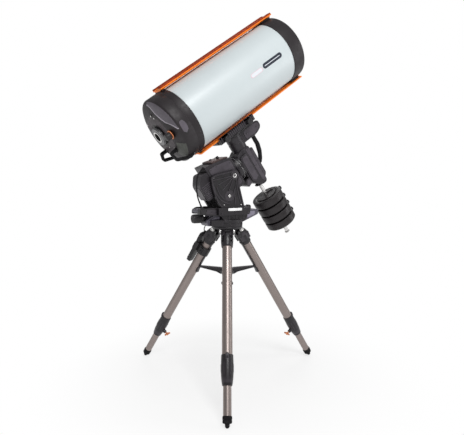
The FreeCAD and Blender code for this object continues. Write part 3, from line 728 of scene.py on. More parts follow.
def base():
    b = Build()
    b.lathe([
        (0, 805), (78.5, 805), (80, 806.5), (80, 822), (78.4, 823), (78.4, 826), (80, 827), (80, 840),
        (78.5, 842), (0, 842),
    ], steps=96)
    for bearing in range(15, 360, 30):
        b.screw_head(3.6, 2.2, turn("Z", bearing) @ at(79.2, 0, 814.5) @ turn("Y", 90))
    floor = oblong(-121, 812, 60, 841.8)
    b.plate(floor, 3, -56, 56)
    piece("base_drum", b, ON_BASE, "black_cast", ["azimuth_base"], 0.8, 3)

    b = Build()
    for side in (-1, 1):
        wall = [
            (-172, 872, 4), (-70, 862, 10), (-50, 835, 10), (50, 827, 12), (80, 842, 12), (92, 905, 6),
            (-150, 905, 10), (-172, 892, 6),
        ]
        b.plate(wall, 8, *across(side, 55, 66))
        flange = [(-96, 868.2, 6), (84, 868.2, 6), (92, 905, 6), (-96, 905, 4)]
        b.plate(flange, 6, *across(side, 65, 88))
        low, high = across(side, 65.6, 67.4)
        for x in (-30, 14, 58):
            rib = [(x, 836 + max(0, x - 50)), (x + 6, 836 + max(0, x - 46)), (x + 6, 870), (x, 870)]
            b.plate(rib, 1, low, high)
        b.plate([(-160, 876), (-100, 871), (-100, 898), (-152, 898)], 4, low, high)
        for x in (-80, 0, 72):
            b.screw_head(4.6, 2.6, outward(side, x, 88, 878))
        b.screws(4.6, 2.6, side, 66, ((-128, 886), (-8, 848), (36, 848)))
    piece("base_walls", b, ON_BASE, "black_cast", (), 2.2, 4)

    b = Build()
    b.box((-86, 64, 833.5), (-64, 87, 868.4))
    b.box((-84, 86.8, 840), (-66, 88, 864))
    piece("controller_port", b, ON_BASE, "black_plastic", (), 1.6, 3)

    b = Build()
    arm = [(-60, 812), (-130, 812, 4), (-138, 826, 5), (-136, 843, 5), (-92, 866, 6), (-60, 866)]
    b.plate(arm, 2, -36, 36)
    rib = [(-66, 820), (-120, 820), (-124, 838), (-92, 856), (-66, 856)]
    for side in (-1, 1):
        b.plate(rib, 4, *across(side, 36, 37.6))
    piece("south_arm", b, ON_BASE, "light_grey", (), 2.0, 4)

    b = Build()
    b.plate(oblong(-172, 878, -120, 896), 4, -56, 56)
    b.plate(oblong(-166, 895.5, -126, 898), 1, -44, 44)
    piece("south_bridge", b, ON_BASE, "light_grey", (), 1.6, 4)

    b = Build()
    arm = [(40, 812), (80, 826, 10), (172, 862, 8), (172, 888, 6), (70, 888, 6), (40, 860)]
    b.plate(arm, 5, -34, 34)
    b.plate([(88, 840), (150, 863), (150, 878), (88, 878)], 5, -35.6, 35.6)
    for low in (-34, 20):
        ear = [(96, 886), (98, 908, 6), (107, 916, 5), (116, 908, 6), (118, 886)]
        b.plate(ear, 3, low, low + 14)
    piece("north_arm", b, ON_BASE, "light_grey", (), 1.8, 4)

    b = Build()
    b.box((-200, -84, 876), (-165, -60, 904))
    b.box((-197, -85.2, 879), (-170, -83.6, 901))
    piece("socket_block", b, ON_BASE, "black_plastic", (), 2.4, 4)

    b = Build()
    plug = [(0, 904), (8.6, 904), (8.6, 909), (7.6, 910), (7.6, 913), (3.8, 914.5), (3.7, 904)]
    b.lathe(plug, at(-184, -72, 0), 28)
    piece("lead_plug", b, ON_BASE, "black_plastic", (), 0.5)

    b = Build()
    b.plate(oblong(-44, 889.5, 36, 903), 3, -89.4, -88)
    piece("blank_label", b, ON_BASE, "label_white", (), 0.3)

    b = Build()
    knob = [(5, 34.2), (9.6, 34.4), (11, 36), (11, 45.6), (9.6, 47), (4, 47), (3.4, 46), (0, 46)]
    for side in (-1, 1):
        place = outward(side, 107, 0, 903)
        b.rod(5, 4, 44, place, 24)
        b.lathe(knob, place, 48)
        b.ridges(10.4, 11.5, 0.9, 36.4, 45.2, 20, place)
    piece("azimuth_thumbscrews", b, (ROW, "azimuth_knobs"), "black_plastic", ["azimuth_knobs"], 0.4)

    b = Build()
    place = at(-140, 0, 850) @ turn("Y", -90)
    b.rod(9, -74, 4, place, 32)
    rim = [
        (0, 0), (15, 0), (17, 3), (20, 4), (22.4, 8), (22.6, 54), (20.6, 60), (16, 62), (9, 62), (8, 59.5),
        (0, 59.5),
    ]
    b.lathe(rim, place, 64)
    b.ridges(21.4, 23.2, 1.7, 10, 52, 24, place)
    piece("altitude_handwheel", b, (ROW, "altitude_screw"), "black_plastic", ["altitude_screw"], 0.8, 3)


def cheeks():
    inner_face, face = 62, 74
    pivot_level = 1066
    outline = rounded([
        (-134, 1055, 8), (-123, 996, 20), (-107, 956, 16), (-95, 931, 16), (-76, 905, 4), (60, 905, 4),
        (28, 1020, 26), (29, 1070, 18), (18, 1090, 12), (0, 1096, 12), (-18, 1089, 14), (-101, 1073, 14),
    ], 8)
    rim_inside = rounded([
        (-126, 1050), (-116, 998), (-101, 959), (-89, 934), (-73, 913), (51, 911), (20, 1018), (21, 1067),
        (12, 1082), (0, 1087), (-17, 1081), (-98, 1065),
    ], 8)
    # Raised ribs: a fan under the pivot, then curls round the clamp bolt, each with its width.
    ribs = (
        ([(-21, 1062), (-60, 1054), (-124, 1042)], 4.4),
        ([(-20, 1056), (-62, 1036), (-92, 1020)], 4.0),
        ([(-16, 1049), (-44, 1018), (-70, 992)], 4.0),
        ([(-9, 1046), (-24, 1008), (-34, 990)], 4.0),
        ([(-118, 1012), (-104, 976), (-80, 946), (-52, 930), (-30, 926)], 5.0),
        ([
            (-104, 1012), (-88, 978), (-64, 952), (-38, 942), (-12, 944), (-4, 962), (-14, 986), (-34, 992),
        ], 4.6),
        ([(12, 1047), (8, 1014), (-2, 984), (4, 952), (2, 920)], 4.4),
        ([(22, 1050), (17, 1016), (20, 984), (30, 950), (40, 922)], 4.4),
        ([(-60, 914), (-54, 926), (-40, 938)], 3.6),
    )
    slot_turns = [math.radians(192 + step * 3.1) for step in range(13)]
    slot = []
    for reach, turns in ((102, slot_turns), (91, slot_turns[::-1])):
        slot += [(reach * math.cos(angle), pivot_level + reach * math.sin(angle)) for angle in turns]

    for side, name in ((-1, "near"), (1, "far")):
        b = Build()
        b.prism(outline, *across(side, inner_face, face))
        b.frame(resampled(outline, 120), resampled(rim_inside, 120), *across(side, face, face + 2.8))
        boss = [(0, 0), (22, 0), (22, 2.4), (20.4, 3.2), (16, 3.2), (15, 2.2), (0, 2.2)]
        b.lathe(boss, outward(side, 0, face, pivot_level), 56)
        for corners, width in ribs:
            b.prism(ribbon(corners, width), *across(side, face - 1, face + 2.6))
        b.ring(9, 26, 0, 1.2, outward(side, -29, face, 964), 48)
        piece("cheek_" + name, b, ON_BASE, "black_cast", ["side_plates"], 0.7, 3)

        b = Build()
        b.screw_head(11, 3.4, outward(side, 0, 76, pivot_level), 36)
        b.screw_head(7.4, 3.6, outward(side, -29, 74.4, 964), 28)
        b.screws(3.4, 1.6, side, 75.2, ((-120, 1056), (-60, 920), (38, 919)), 20)
        piece("cheek_bolts_" + name, b, ON_BASE, "bright_steel", (), 0.3)

        b = Build()
        b.prism(rounded(slot, 2, 2), *across(side, face - 0.5, face + 0.5))
        piece("cheek_slot_" + name, b, ON_BASE, "black_inner", (), 0)


# ---------------------------------------------------------------- polar axis


def polar_housing():
    b = Build()
    shell = [
        (-71, 42, 8), (70, 42, 10), (76, 0, 18), (64, -60, 14), (52, -110, 4), (-124, -110, 4),
        (-113, -60, 10), (-88, 30, 8),
    ]
    b.plate(shell, 6, -56.4, 56.4)
    for side in (-1, 1):
        panel = [(-70, 30), (58, 30), (64, -2), (54, -56), (44, -98), (-100, -98), (-98, -58), (-78, 20)]
        b.plate(panel, 8, *across(side, 56.4, 58))
        b.rod(13, 58, 77.8, turn("X", -90 * side), 40)
        corners = ((-64, 22), (50, 22), (46, -52), (36, -90), (-92, -90), (-90, -52))
        b.screws(3.2, 1.8, side, 57.6, corners, 20)
    b.lathe([(40, 40), (64, 40), (66, 41), (66, 42.4), (62, 42.9), (40, 42.9)], steps=72)
    piece("polar_casting", b, ON_POLAR, "painted_grey", ["ra_housing"], 1.6, 3)

    b = Build()
    cover = [(-113, -60, 2), (-88, 30, 2), (-96, 31, 6), (-104, 0, 6), (-121, -58, 5), (-118, -62, 2)]
    b.plate(cover, 3, -52, 52)
    b.plate([(-98, 26), (-105.6, -2), (-121, -52), (-118.6, -54), (-95, 24)], 2, -44, 44)
    piece("polar_top_cover", b, ON_POLAR, "warm_brown", ["ra_covers"], 1.4, 3)

    b = Build()
    box = [
        (-104, -150, 12), (-96, -110.4, 3), (20, -110.4, 3), (27, -120, 4), (27, -186, 9), (-60, -186, 14),
    ]
    b.plate(box, 6, -53.2, 26)
    for x in range(-50, 20, 9):
        b.plate(oblong(x, -180, x + 4.4, -117), 1.2, -54.6, -53)
    b.screws(2.8, 1.6, -1, 53.1, ((-88, -146), (-84, -120)), 18)
    b.plate(oblong(-52, -186, 18, -188), 0.6, -44, 12)
    piece("motor_box", b, ON_POLAR, "painted_grey", (), 1.2, 3)

    b = Build()
    place = at(-107, -18, -4) @ turn("Y", -90)
    b.lathe([(0, -4), (6, -4), (6, 2), (7, 3), (7, 10.6), (6, 12), (0, 12)], place, 32)
    b.ridges(6.6, 7.4, 0.6, 3.6, 10, 30, place)
    second = at(-112, 14, -30) @ turn("Y", -75)
    b.lathe([(0, -3), (5, -3), (5.4, 1), (6.2, 2), (6.2, 7.4), (5, 8.6), (0, 8.6)], second, 28)
    piece("polar_top_knobs", b, ON_POLAR, "black_plastic", (), 0.4)

    b = Build()
    for y in (-40, 0, 40):
        b.screw_head(3.4, 2.4, at(-101.5, y, 14) @ turn("Y", -75), 20)
        b.screw_head(3.4, 2.4, at(-116, y, -44) @ turn("Y", -75), 20)
    piece("polar_top_screws", b, ON_POLAR, "bright_steel", (), 0.3)

    # The turning flange between the two housings, with a ring of plain division marks.
    b = Build()
    b.lathe([
        (8, 43.2), (66, 43.2), (67.4, 44.6), (67.4, 52), (66.4, 53), (66.4, 67), (68, 68.6), (68, 79.8),
        (8, 79.8),
    ], steps=96)
    piece("turning_flange", b, ON_FLANGE, "black_cast", ["ra_shaft"], 0.5)
    b = Build()
    for number in range(72):
        tall = 5.4 if number % 6 == 0 else 3.2
        b.box((66.1, -0.3, 66.4 - tall), (66.75, 0.3, 66.4), turn("Z", number * 5))
    piece("division_marks", b, ON_FLANGE, "label_white", (), 0)


# ---------------------------------------------------------------- declination axis


def declination_housing():
    b = Build()
    b.lathe([
        (34.2, -150), (41, -150), (42, -149), (42, -121), (40.8, -119.6), (40.8, -112), (42, -110.6),
        (42, -52), (34, -48), (34.2, -84),
    ], ALONG_X, 96)
    lower = [
        (-70, -30, 8), (-52, -60, 12), (104, -60, 14), (150, -8, 14), (150, 20, 8), (138, 30, 8),
        (-70, 30, 8),
    ]
    b.plate(lower, 6, -45, 45)
    b.plate([(-52, 28, 1), (-46, 54, 8), (112, 54, 8), (128, 40, 6), (128, 28, 1)], 6, -30, 30)
    # The long ridge and panel on each side.
    for side in (-1, 1):
        b.plate([(-58, 26), (-62, 6), (-50, 3), (126, 5), (140, 16), (134, 26)], 3, *across(side, 45, 46))
        b.plate([(-42, 33), (-38, 49), (108, 49), (120, 39), (120, 33)], 3, *across(side, 30, 31.4))
        for x in (-36, 30, 96):
            b.screw_head(2.8, 1.5, outward(side, x, 31.2, 41), 20)
        b.screws(2.8, 1.5, side, 45.8, ((-54, 15), (40, 15), (128, 18)), 20)
    for z in range(-36, 120, 26):
        b.plate(oblong(z, 53.6, z + 16, 55), 0.6, -22, 22)
    b.lathe([(10.4, 150), (27, 150), (26, 153), (20, 155), (10.4, 155)], ALONG_X, 56)
    b.lathe(oblong(34.4, -151, 41, -148), ALONG_X, 72)
    piece("declination_casting", b, ON_DEC, "painted_grey", ["dec_housing"], 1.6, 3)

    # Lug that carries the upper end of the grip.
    b = Build()
    lug = [
        (-146, 24, 2), (-148, 116, 14), (-142, 160, 10), (-134, 168, 8), (-112, 170, 10), (-98, 160, 14),
        (-84, 128, 14), (-84, 24, 2),
    ]
    b.plate(lug, 8, -20.6, 20.6)
    face = [(-138, 56), (-140, 116), (-134, 156), (-114, 162), (-104, 152), (-93, 124), (-93, 56)]
    for side in (-1, 1):
        b.plate(face, 8, *across(side, 20.6, 22))
        b.screw_head(5, 2, outward(side, -116, 21.6, 140), 28)
        b.screw_head(4, 2, outward(side, -116, 21.6, 70), 24)
    piece("declination_lug", b, ON_DEC, "painted_grey", (), 2.2, 4)

    b = Build()
    b.plate([(72, -60.4, 2), (104, -60.4, 4), (112, -86, 6), (96, -92, 6), (72, -80, 8)], 4, -45, 39)
    b.plate([(78, -62), (102, -62), (107, -84), (96, -88), (78, -78)], 4, -46, 40)
    side_cover = [(-46, -34, 6), (-38, -52, 6), (96, -52, 10), (116, -30, 10), (98, -2, 12), (-46, -2, 8)]
    b.plate(side_cover, 6, -51, -45.6)
    b.plate([(-38, -32), (-32, -45), (90, -45), (104, -29), (90, -9), (-38, -9)], 6, -52, -50)
    b.screws(2.6, 1.3, -1, 50.8, ((-40, -9), (-34, -46), (92, -9), (92, -46), (30, -47)), 18)
    piece("declination_covers", b, ON_DEC, "painted_grey", ["dec_motor_cover"], 1.2, 3)

    # Grip: a swollen bar that bows from the lug to the foot of the housing.
    b = Build()
    inner = [(-84.4, 96), (-33, 98), (12, 86), (40, 70), (48, 54.3)]
    outer = [(-84.4, 120), (-28, 120), (10, 110), (48, 90), (66, 74), (66, 54.3)]
    stations, squareness = 40, 0.6
    sections = []
    for station in range(stations + 1):
        part = station / stations
        low, high = Vector(along_line(inner, part)), Vector(along_line(outer, part))
        middle, reach = (low + high) / 2, (high - low) / 2
        swell = 0.86 + 0.14 * math.sin(math.pi * min(1, 1.04 * part))
        ring = []
        for angle in round_trip(24):
            aside, out = (
                math.copysign(abs(v) ** squareness, v) * swell for v in (math.cos(angle), math.sin(angle))
            )
            ring.append((middle.x + reach.x * out, aside * 10, middle.y + reach.y * out))
        sections.append(ring)
    b.loft(sections)
    piece("grip_bar", b, ON_DEC, "rubber", ["carry_handle"], 0)

    b = Build()
    b.plate(oblong(44, 54.3, 70, 58), 1, -10, 10)
    b.plate(oblong(-84.2, 94, -80, 122), 1, -12, 12)
    piece("grip_plates", b, ON_DEC, "black_plastic", (), 0.8, 3)

    b = Build()
    b.screw_head(5.4, 3.0, at(66, 0, 64) @ turn("Y", 90), 24)
    for side in (-1, 1):
        b.screw_head(2.6, 1.6, at(69.4, side * 6, 56.2) @ turn("Y", 90), 18)
    piece("grip_bolts", b, ON_DEC, "bright_steel", (), 0.3)


def weights():
    b = Build()
    b.rod(10, 126, 476.6, ALONG_X, 48)
    cap = [(0, 477), (12.6, 477), (14, 478.4), (14, 483.6), (12.6, 485), (5, 485), (4.6, 483.8), (0, 483.8)]
    b.lathe(cap, ALONG_X, 48)
    b.lathe([(10, 155), (13, 155), (13, 160), (11, 162), (10, 162)], ALONG_X, 40)
    piece("bar_and_toe_cap", b, ON_DEC, "bright_steel", ["counterweight_bar"], 0.3)

    # The end face round the bar has a sunk keyhole that widens to one side.
    rim, keyhole = [], []
    for angle in round_trip(72):
        x, y = math.cos(angle), math.sin(angle)
        reach = 10.4
        if x < -0.001:
            reach = max(reach, min(48 / abs(x), 15 / max(abs(y), 0.001)))
        rim.append((56 * x, -56 * y))
        keyhole.append((reach * x, -reach * y))
    first, pitch = 225, 48
    for number in range(4):
        start = first + pitch * number
        top = number == 0
        body = "counterweight_top" if top else "counterweights_lower"
        screw_body = "counterweight_top_knob" if top else body
        place = at(start, 0, 0) @ ALONG_X
        b = Build()
        b.lathe([
            (10.3, 4.4), (60, 4.4), (61, 3.8), (79, 3.8), (83, 5), (85, 9), (85, 40), (83.4, 42),
            (81.6, 42.6), (79, 46.4), (60, 47), (58.6, 45.2), (48, 45.2), (46.6, 47), (10.3, 47),
        ], place, 120)
        b.frame(rim, keyhole, 0, 4.6, place @ turn("X", 90))
        stands_for = [body] if number < 2 else ()
        piece("weight_%d" % (number + 1), b, (DEC, body), "weight_grey", stands_for, 0.5)

        b = Build()
        stem = at(start + pitch / 2, 0, 0)
        b.rod(5, 10.8, 92, stem, 24)
        piece("weight_screw_%d" % (number + 1), b, (DEC, screw_body), "bright_steel", (), 0.2)
        b = Build()
        b.lathe([
            (5, 85.2), (7, 85.4), (7, 90), (9.6, 90.4), (11, 92), (11, 100), (9, 102), (3, 102), (2.6, 101),
            (0, 101), (0, 90), (5, 90),
        ], stem, 40)
        b.ridges(10.4, 11.5, 0.9, 92.4, 99.8, 24, stem)
        stands_for = [screw_body] if top else ()
        piece("weight_knob_%d" % (number + 1), b, (DEC, screw_body), "black_plastic", stands_for, 0.4)


# ---------------------------------------------------------------- saddle


def saddle():
    b = Build()
    b.plate(oblong(-183, -105, -158.4, 132), 2, -52, 64)
    b.plate(oblong(-183, -100, -158.4, 127), 3, -54, 66)
    b.plate(oblong(-195, -104, -183, 131), 2, 50.4, 66)
    b.lathe([(14, -158.6), (58, -158.6), (58, -155), (54, -150.4), (14, -150.4)], ALONG_X, 72)
    for low, high in ((-109, -105), (132, 136)):
        b.box((-180, -30, low), (-162, 40, high))
    for z in range(-84, 121, 20):
        b.plate(oblong(-178, z, -162, z + 11), 3, -56.6, -54)
    for z in range(-90, 121, 30):
        b.plate(oblong(-180, z, -163, z + 14), 3, 66, 67.6)
    piece("saddle_casting", b, ON_SADDLE, "black_cast", ["saddle", "dec_shaft"], 1.4, 3)

    b = Build()
    for z in (-90, -30, 30, 90):
        b.screw_head(4.6, 2.6, at(-170, 67, z + 7) @ turn("X", -90), 22)
    piece("saddle_bolts", b, ON_SADDLE, "bright_steel", (), 0.3)

    b = Build()
    lip = [(-195, -104), (-183.6, -105, 1), (-162, -105), (-162, 132), (-183.6, 132, 1), (-195, 131)]
    b.plate(lip, 2, -64.6, -57)
    for z in range(-96, 124, 12):
        if min(abs(z + 3.5 + 70), abs(z + 3.5 - 90)) > 20:
            b.plate(oblong(-192, z, -166, z + 7), 2.4, -66, -64)
    b.plate(oblong(-195, -104, -183.6, 131), 2, -64.6, -54.6)
    piece("saddle_clamp_jaw", b, (DEC, "saddle_jaw"), "black_cast", ["saddle_jaw"], 0.9, 3)

    wheel = [
        (5, 66.4), (10, 66.6), (11, 68), (13, 69), (15, 71), (15, 81), (13.4, 83), (9, 84), (8.6, 82.6),
        (0, 82.6),
    ]
    lobe = [(0, 70.6), (4.6, 70.6), (4.6, 82), (3.6, 83), (0, 83)]
    for letter, z in (("a", -70), ("b", 90)):
        b = Build()
        place = at(-170, 0, z) @ turn("X", 90)
        b.rod(5, 30, 72, place, 24)
        b.lathe(wheel, place, 48)
        for angle in range(0, 360, 60):
            b.lathe(lobe, place @ turn("Z", angle) @ at(11.6, 0, 0), 20)
        knob = "saddle_knob_" + letter
        piece("saddle_wheel_" + letter, b, (DEC, knob), "black_plastic", [knob], 0.5)


base()
cheeks()
polar_housing()
declination_housing()
weights()
saddle()

# ---------------------------------------------------------------- optical tube

TUBE_RADIUS = 166


def on_round(degrees, radius, z):
    """A point at this angle up from the near side."""
    angle = math.radians(degrees)
    return -radius * math.sin(angle), -radius * math.cos(angle), z


def on_cylinder(outline, radius, thick):
    """A thin patch that lies on a cylinder about Z; the outline is (degrees up from the near side, z)."""
    flat = bmesh.new()
    flat.faces.new([flat.verts.new((angle, z, 0)) for angle, z in outline])
    angles = [angle for angle, _ in outline]
    for angle in range(math.ceil(min(angles)), math.ceil(max(angles))):
        everything = flat.verts[:] + flat.edges[:] + flat.faces[:]
        bmesh.ops.bisect_plane(flat, geom=everything, plane_co=(angle, 0, 0), plane_no=(1, 0, 0))
    b = Build()
    corners = flat.verts[:]
    skins = []
    for reach in (radius, radius + thick):
        skins.append(dict(zip(corners, b.points([on_round(v.co.x, reach, v.co.y) for v in corners]))))
    low, high = skins
    for face in flat.faces:
        b.mesh.faces.new([high[corner] for corner in face.verts])
        b.mesh.faces.new([low[corner] for corner in reversed(face.verts)])
    for edge in flat.edges:
        if edge.is_boundary:
            one, two = edge.verts
            b.mesh.faces.new((low[one], low[two], high[two], high[one]))
    flat.free()
    return b


def pill(middle_angle, low, high, half_angle, steps=10):
    """A capsule along Z on the tube, as (degrees, z)."""
    reach = TUBE_RADIUS * math.radians(half_angle)
    outline = []
    for end, first in ((high - reach, 0), (low + reach, math.pi)):
        for step in range(steps + 1):
            angle = first + math.pi * step / steps
            outline.append((middle_angle + half_angle * math.cos(angle), end + reach * math.sin(angle)))
    return outline


def tube_shell():
    low, high = -59.5, 586.5
    b = Build()
    b.ring(164.9, TUBE_RADIUS, low, high, steps=160)
    piece("tube_skin", b, ON_TUBE, "pearl_tube", ["tube"], 0)
    b = Build()
    b.ring(164.5, 164.85, low, high, steps=120)
    piece("tube_lining", b, ON_TUBE, "black_inner", (), 0)

    # A dark badge with a plain line, and a pale streak beside it.
    for name, outline, radius, thick, look in (
        ("badge_plate", pill(1.7, 392, 526, 4.6), 166.02, 0.3, "badge_dark"),
        ("badge_line", pill(1.7, 404, 512, 0.55), 166.3, 0.14, "badge_pale"),
        ("streak_edge", pill(0.1, 304, 386, 3.6), 166.02, 0.16, "badge_pink"),
        ("streak_field", pill(0.1, 308, 382, 2.9), 166.16, 0.1, "badge_pale"),
    ):
        piece(name, on_cylinder(outline, radius, thick), ON_TUBE, look, (), 0)


def front_cell():
    b = Build()
    b.lathe([
        (164.5, 568), (164.5, 586.6), (168.6, 586.6), (170, 588), (170, 655), (168.8, 661), (165, 665),
        (161, 666), (156, 665.4), (153, 663), (150, 640), (149, 623), (149, 609), (142, 609), (142, 601),
        (158, 568),
    ], steps=160)
    piece("front_cell_casting", b, ON_TUBE, "cell_grey", ["front_cell"], 0.4)

    # Retaining ring of the corrector, with its screws.
    b = Build()
    ring = [(139, 614.2), (148.8, 614.2), (148.8, 618.4), (147.6, 619.4), (141, 619.4), (139, 617.6)]
    b.lathe(ring, steps=144)
    piece("corrector_ring", b, ON_TUBE, "black_inner", (), 0.3)
    b = Build()
    for angle in range(15, 375, 30):
        b.screw_head(2.3, 1.3, turn("Z", angle) @ at(144.4, 0, 619.3), 18)
    piece("corrector_screws", b, ON_TUBE, "bright_steel", (), 0.2)
    b = Build()
    pane = [(50.2, 609.1), (147.6, 609.1), (148, 609.5), (148, 613.5), (147.6, 613.9), (50.2, 613.9)]
    b.lathe(pane, steps=128)
    piece("corrector_plate", b, ON_TUBE, "coated_glass", ["corrector"], 0)

    b = Build()
    b.lathe([
        (0, 585), (38, 585), (40, 586.5), (44, 601), (55, 603), (56, 604.4), (56, 608.8), (50.1, 608.9),
        (50.1, 614.1), (56, 614.2), (56, 619), (54.6, 621.4), (51, 624.6), (46, 625), (45, 623.6),
        (30, 623.6), (28.6, 625), (0, 625),
    ], steps=96)
    b.ridges(55.2, 56.6, 1.1, 615, 620.4, 10)
    piece("secondary_holder", b, ON_TUBE, "black_plastic", ["secondary"], 0.4)
    b = Build()
    for angle in (30, 150, 270):
        b.screw_head(3.8, 1.5, turn("Z", angle) @ at(37.6, 0, 623.4), 24)
    piece("secondary_screws", b, ON_TUBE, "bright_steel", (), 0.2)


# The rear cell's outer surface from its flat middle over the sloping shoulder, as (radius, z).
SHOULDER = (
    (24, -188), (58, -188), (104, -184.6), (112, -182), (150, -168), (158, -164), (165, -160), (170, -151),
)


def interpolated(line, at_value):
    """The second number that a line of (first, second) pairs has where the first is at_value."""
    for (here, one), (after, two) in zip(line, line[1:]):
        if here <= at_value <= after:
            return one + (two - one) * (at_value - here) / (after - here)
    return line[-1][1] if at_value > line[-1][0] else line[0][1]


def shoulder(radius, lift):
    """The z of a point this far out from the rear cell's surface."""
    return interpolated(SHOULDER, radius) - lift


def shoulder_patch(name, low_edge, high_edge, lift, look, start, end, steps):
    """A panel on the shoulder between two edges, each a list of (degrees, radius)."""
    slices, buried, edge_height = 6, -0.5, 0.45
    b = Build()
    rows = []
    for step in range(steps + 1):
        angle = start + (end - start) * step / steps
        near, far = interpolated(low_edge, angle), interpolated(high_edge, angle)
        reaches = [near + (far - near) * number / slices for number in range(slices + 1)]
        section = []
        for number, reach in enumerate(reaches):
            height = lift * (edge_height if number in (0, slices) else 1)
            section.append(on_round(angle, reach, shoulder(reach, height)))
        section += [on_round(angle, reach, shoulder(reach, buried)) for reach in reversed(reaches)]
        rows.append(b.points(section))
    for one, two in zip(rows, rows[1:]):
        b.band(one, two)
    for row in (rows[0], rows[-1]):
        for number in range(slices):
            b.mesh.faces.new((row[number], row[number + 1], row[-2 - number], row[-1 - number]))
    piece(name, b, ON_TUBE, look, (), 0)


def rear_cell():
    b = Build()
    b.lathe([
        (164.5, -42), (164.5, -59.4), (168.8, -59.4), (170, -61), (170, -96), (169.5, -96.8), (169.5, -98),
        (170, -98.8), (170, -151), (168.2, -156), (165, -160), (158, -164), (150, -168), (112, -182),
        (104, -184.6), (60, -187.8), (24, -188), (24, -178), (108, -172), (144, -158), (158, -150),
        (158, -42),
    ], steps=160)
    for step in range(8):
        b.screw_head(3.4, 2.0, turn("Z", 22.5 + 45 * step) @ at(169.2, 0, -75) @ turn("Y", 90), 20)
    piece("rear_cell_casting", b, ON_TUBE, "cell_grey", ["rear_cell"], 0.5)

    swoosh = [
        (2, 160), (14, 141), (26, 121), (38, 116), (49, 117), (60, 121), (68, 129), (80, 143), (90, 152),
    ]
    wide = [(angle, radius + 5.5) for angle, radius in swoosh]
    shoulder_patch("shoulder_panel", wide, [(2, 164), (90, 164)], 1.2, "panel_grey", 3, 88, 44)
    shoulder_patch("shoulder_swoosh", swoosh, wide, 2.2, "swoosh_grey", 2, 88, 44)
    shoulder_patch(
        "lower_panel", [(-66, 112), (-26, 112)], [(-66, 163), (-26, 163)], 1.0, "panel_green", -66, -26, 20,
    )
    shoulder_patch(
        "middle_plate", [(-180, 60), (180, 60)], [(-180, 100), (180, 100)], 1.0, "cell_grey", -178, 178, 90,
    )

    recess = rounded(
        [(11, -126), (10, -146), (4, -149.5), (-8, -149), (-12, -136), (-8, -122), (2, -117)], 5, 4,
    )
    piece("side_recess", on_cylinder(recess, 169.9, 0.5), ON_TUBE, "panel_light", (), 0)
    # A painted shadow: a dark sheet along one side of the recess.
    recess_shadow_outline = [(-8, -148.6), (-12.6, -137), (-8.6, -121.6), (-6.4, -123), (-10.2, -137), (-6.4, -146.6)]
    piece("recess_shadow", on_cylinder(rounded(recess_shadow_outline, 1, 2), 170.3, 0.3), ON_TUBE, "black_inner", (), 0)

    welled = [(-101, -19), (68, -16)]
    b = Build()
    for x, y in welled + [(-62, 78), (60, 78), (93, -29), (-88, -40)]:
        b.screw_head(4.2, 2.6, at(x, y, shoulder(math.hypot(x, y), 0.6)) @ turn("X", 180), 22)
    piece("rear_screws", b, ON_TUBE, "bright_steel", (), 0.3)
    b = Build()
    for x, y in welled:
        b.rod(8.6, -0.5, 0.9, at(x, y, shoulder(math.hypot(x, y), 0)) @ turn("X", 180))
    piece("rear_screw_wells", b, ON_TUBE, "black_inner", (), 0.2)


def focus_knob():
    spot = at(5, -112, 0)
    place = (OPTICAL, "focus_knob")
    b = Build()
    collar = [(5, -191.6), (21, -191.6), (22, -190.4), (22, -188.2), (21, -187.2), (5, -187.2)]
    b.lathe(collar, spot, 64)
    b.ridges(21, 22.3, 0.8, -191, -187.8, 15, spot)
    piece("focus_collar", b, place, "copper_knob", (), 0.4)
    b = Build()
    b.lathe([
        (0, -218), (13.4, -218), (15.6, -217), (17, -214), (17, -194), (16, -192), (5, -192), (5, -139),
        (0, -139),
    ], spot, 64)
    b.ridges(16, 17.6, 1.2, -213, -195, 18, spot)
    b.rod(8, -218.6, -217.4, spot)
    piece("focus_grip", b, place, "black_plastic", ["focus_knob"], 0.5)


def rear_port():
    """The visual back: a threaded ring with a ribbed rim and a bright lip."""
    b = Build()
    b.lathe([
        (22, -178), (24, -178), (24, -188.2), (46, -188.2), (48, -190), (48, -199), (46, -201), (46, -203),
        (44, -206), (25, -206), (22, -203.4),
    ], steps=96)
    b.ridges(47.4, 48.7, 1.1, -198.4, -190.6, 9)
    piece("visual_back", b, ON_TUBE, "port_grey", ["rear_port"], 0.4)
    b = Build()
    lip = [(22.1, -200), (23.2, -200), (23.2, -206.6), (28, -206.6), (28, -207.6), (22.1, -207.6)]
    b.lathe(lip, steps=64)
    piece("port_lip", b, ON_TUBE, "bright_steel", (), 0.2)


def rear_handles():
    """A round-cornered strap loop at each lower quarter, with a pad and two screws at each end."""
    loop = rounded([
        (98, -184, 0), (98, -216, 8), (104, -222, 6), (146, -222, 10), (154, -214, 8), (180, -152, 12),
        (178, -140, 6), (170.2, -134, 0), (170.2, -152.1, 0), (169.9, -153.5, 0), (143, -212, 8),
        (110, -212, 8),
        (110, -182.8, 0),
    ], 4)
    back_pad = [(92, -184.4), (116, -182.4), (114, -186), (94, -187)]
    side_pad = [(170.3, -128), (174, -130), (174, -152), (170.3, -152)]
    for name, angle in (("near", -33), ("far", 33)):
        place = turn("Z", angle)
        b = Build()
        b.prism(loop, -8, 8, place)
        for pad in (back_pad, side_pad):
            b.plate(pad, 1, -12, 12, place)
        stands_for = ["rear_handles"] if name == "near" else ()
        piece("rear_handle_" + name, b, ON_TUBE, "rubber", stands_for, 2.4, 4)
        b = Build()
        for y in (-9.6, 9.6):
            b.screw_head(2.2, 1.2, place @ at(174, y, -131.6) @ turn("Y", 90), 16)
            b.screw_head(2.2, 1.2, place @ at(95, y, -186.6) @ turn("X", 180), 16)
        piece("handle_screws_" + name, b, ON_TUBE, "bright_steel", (), 0.2)


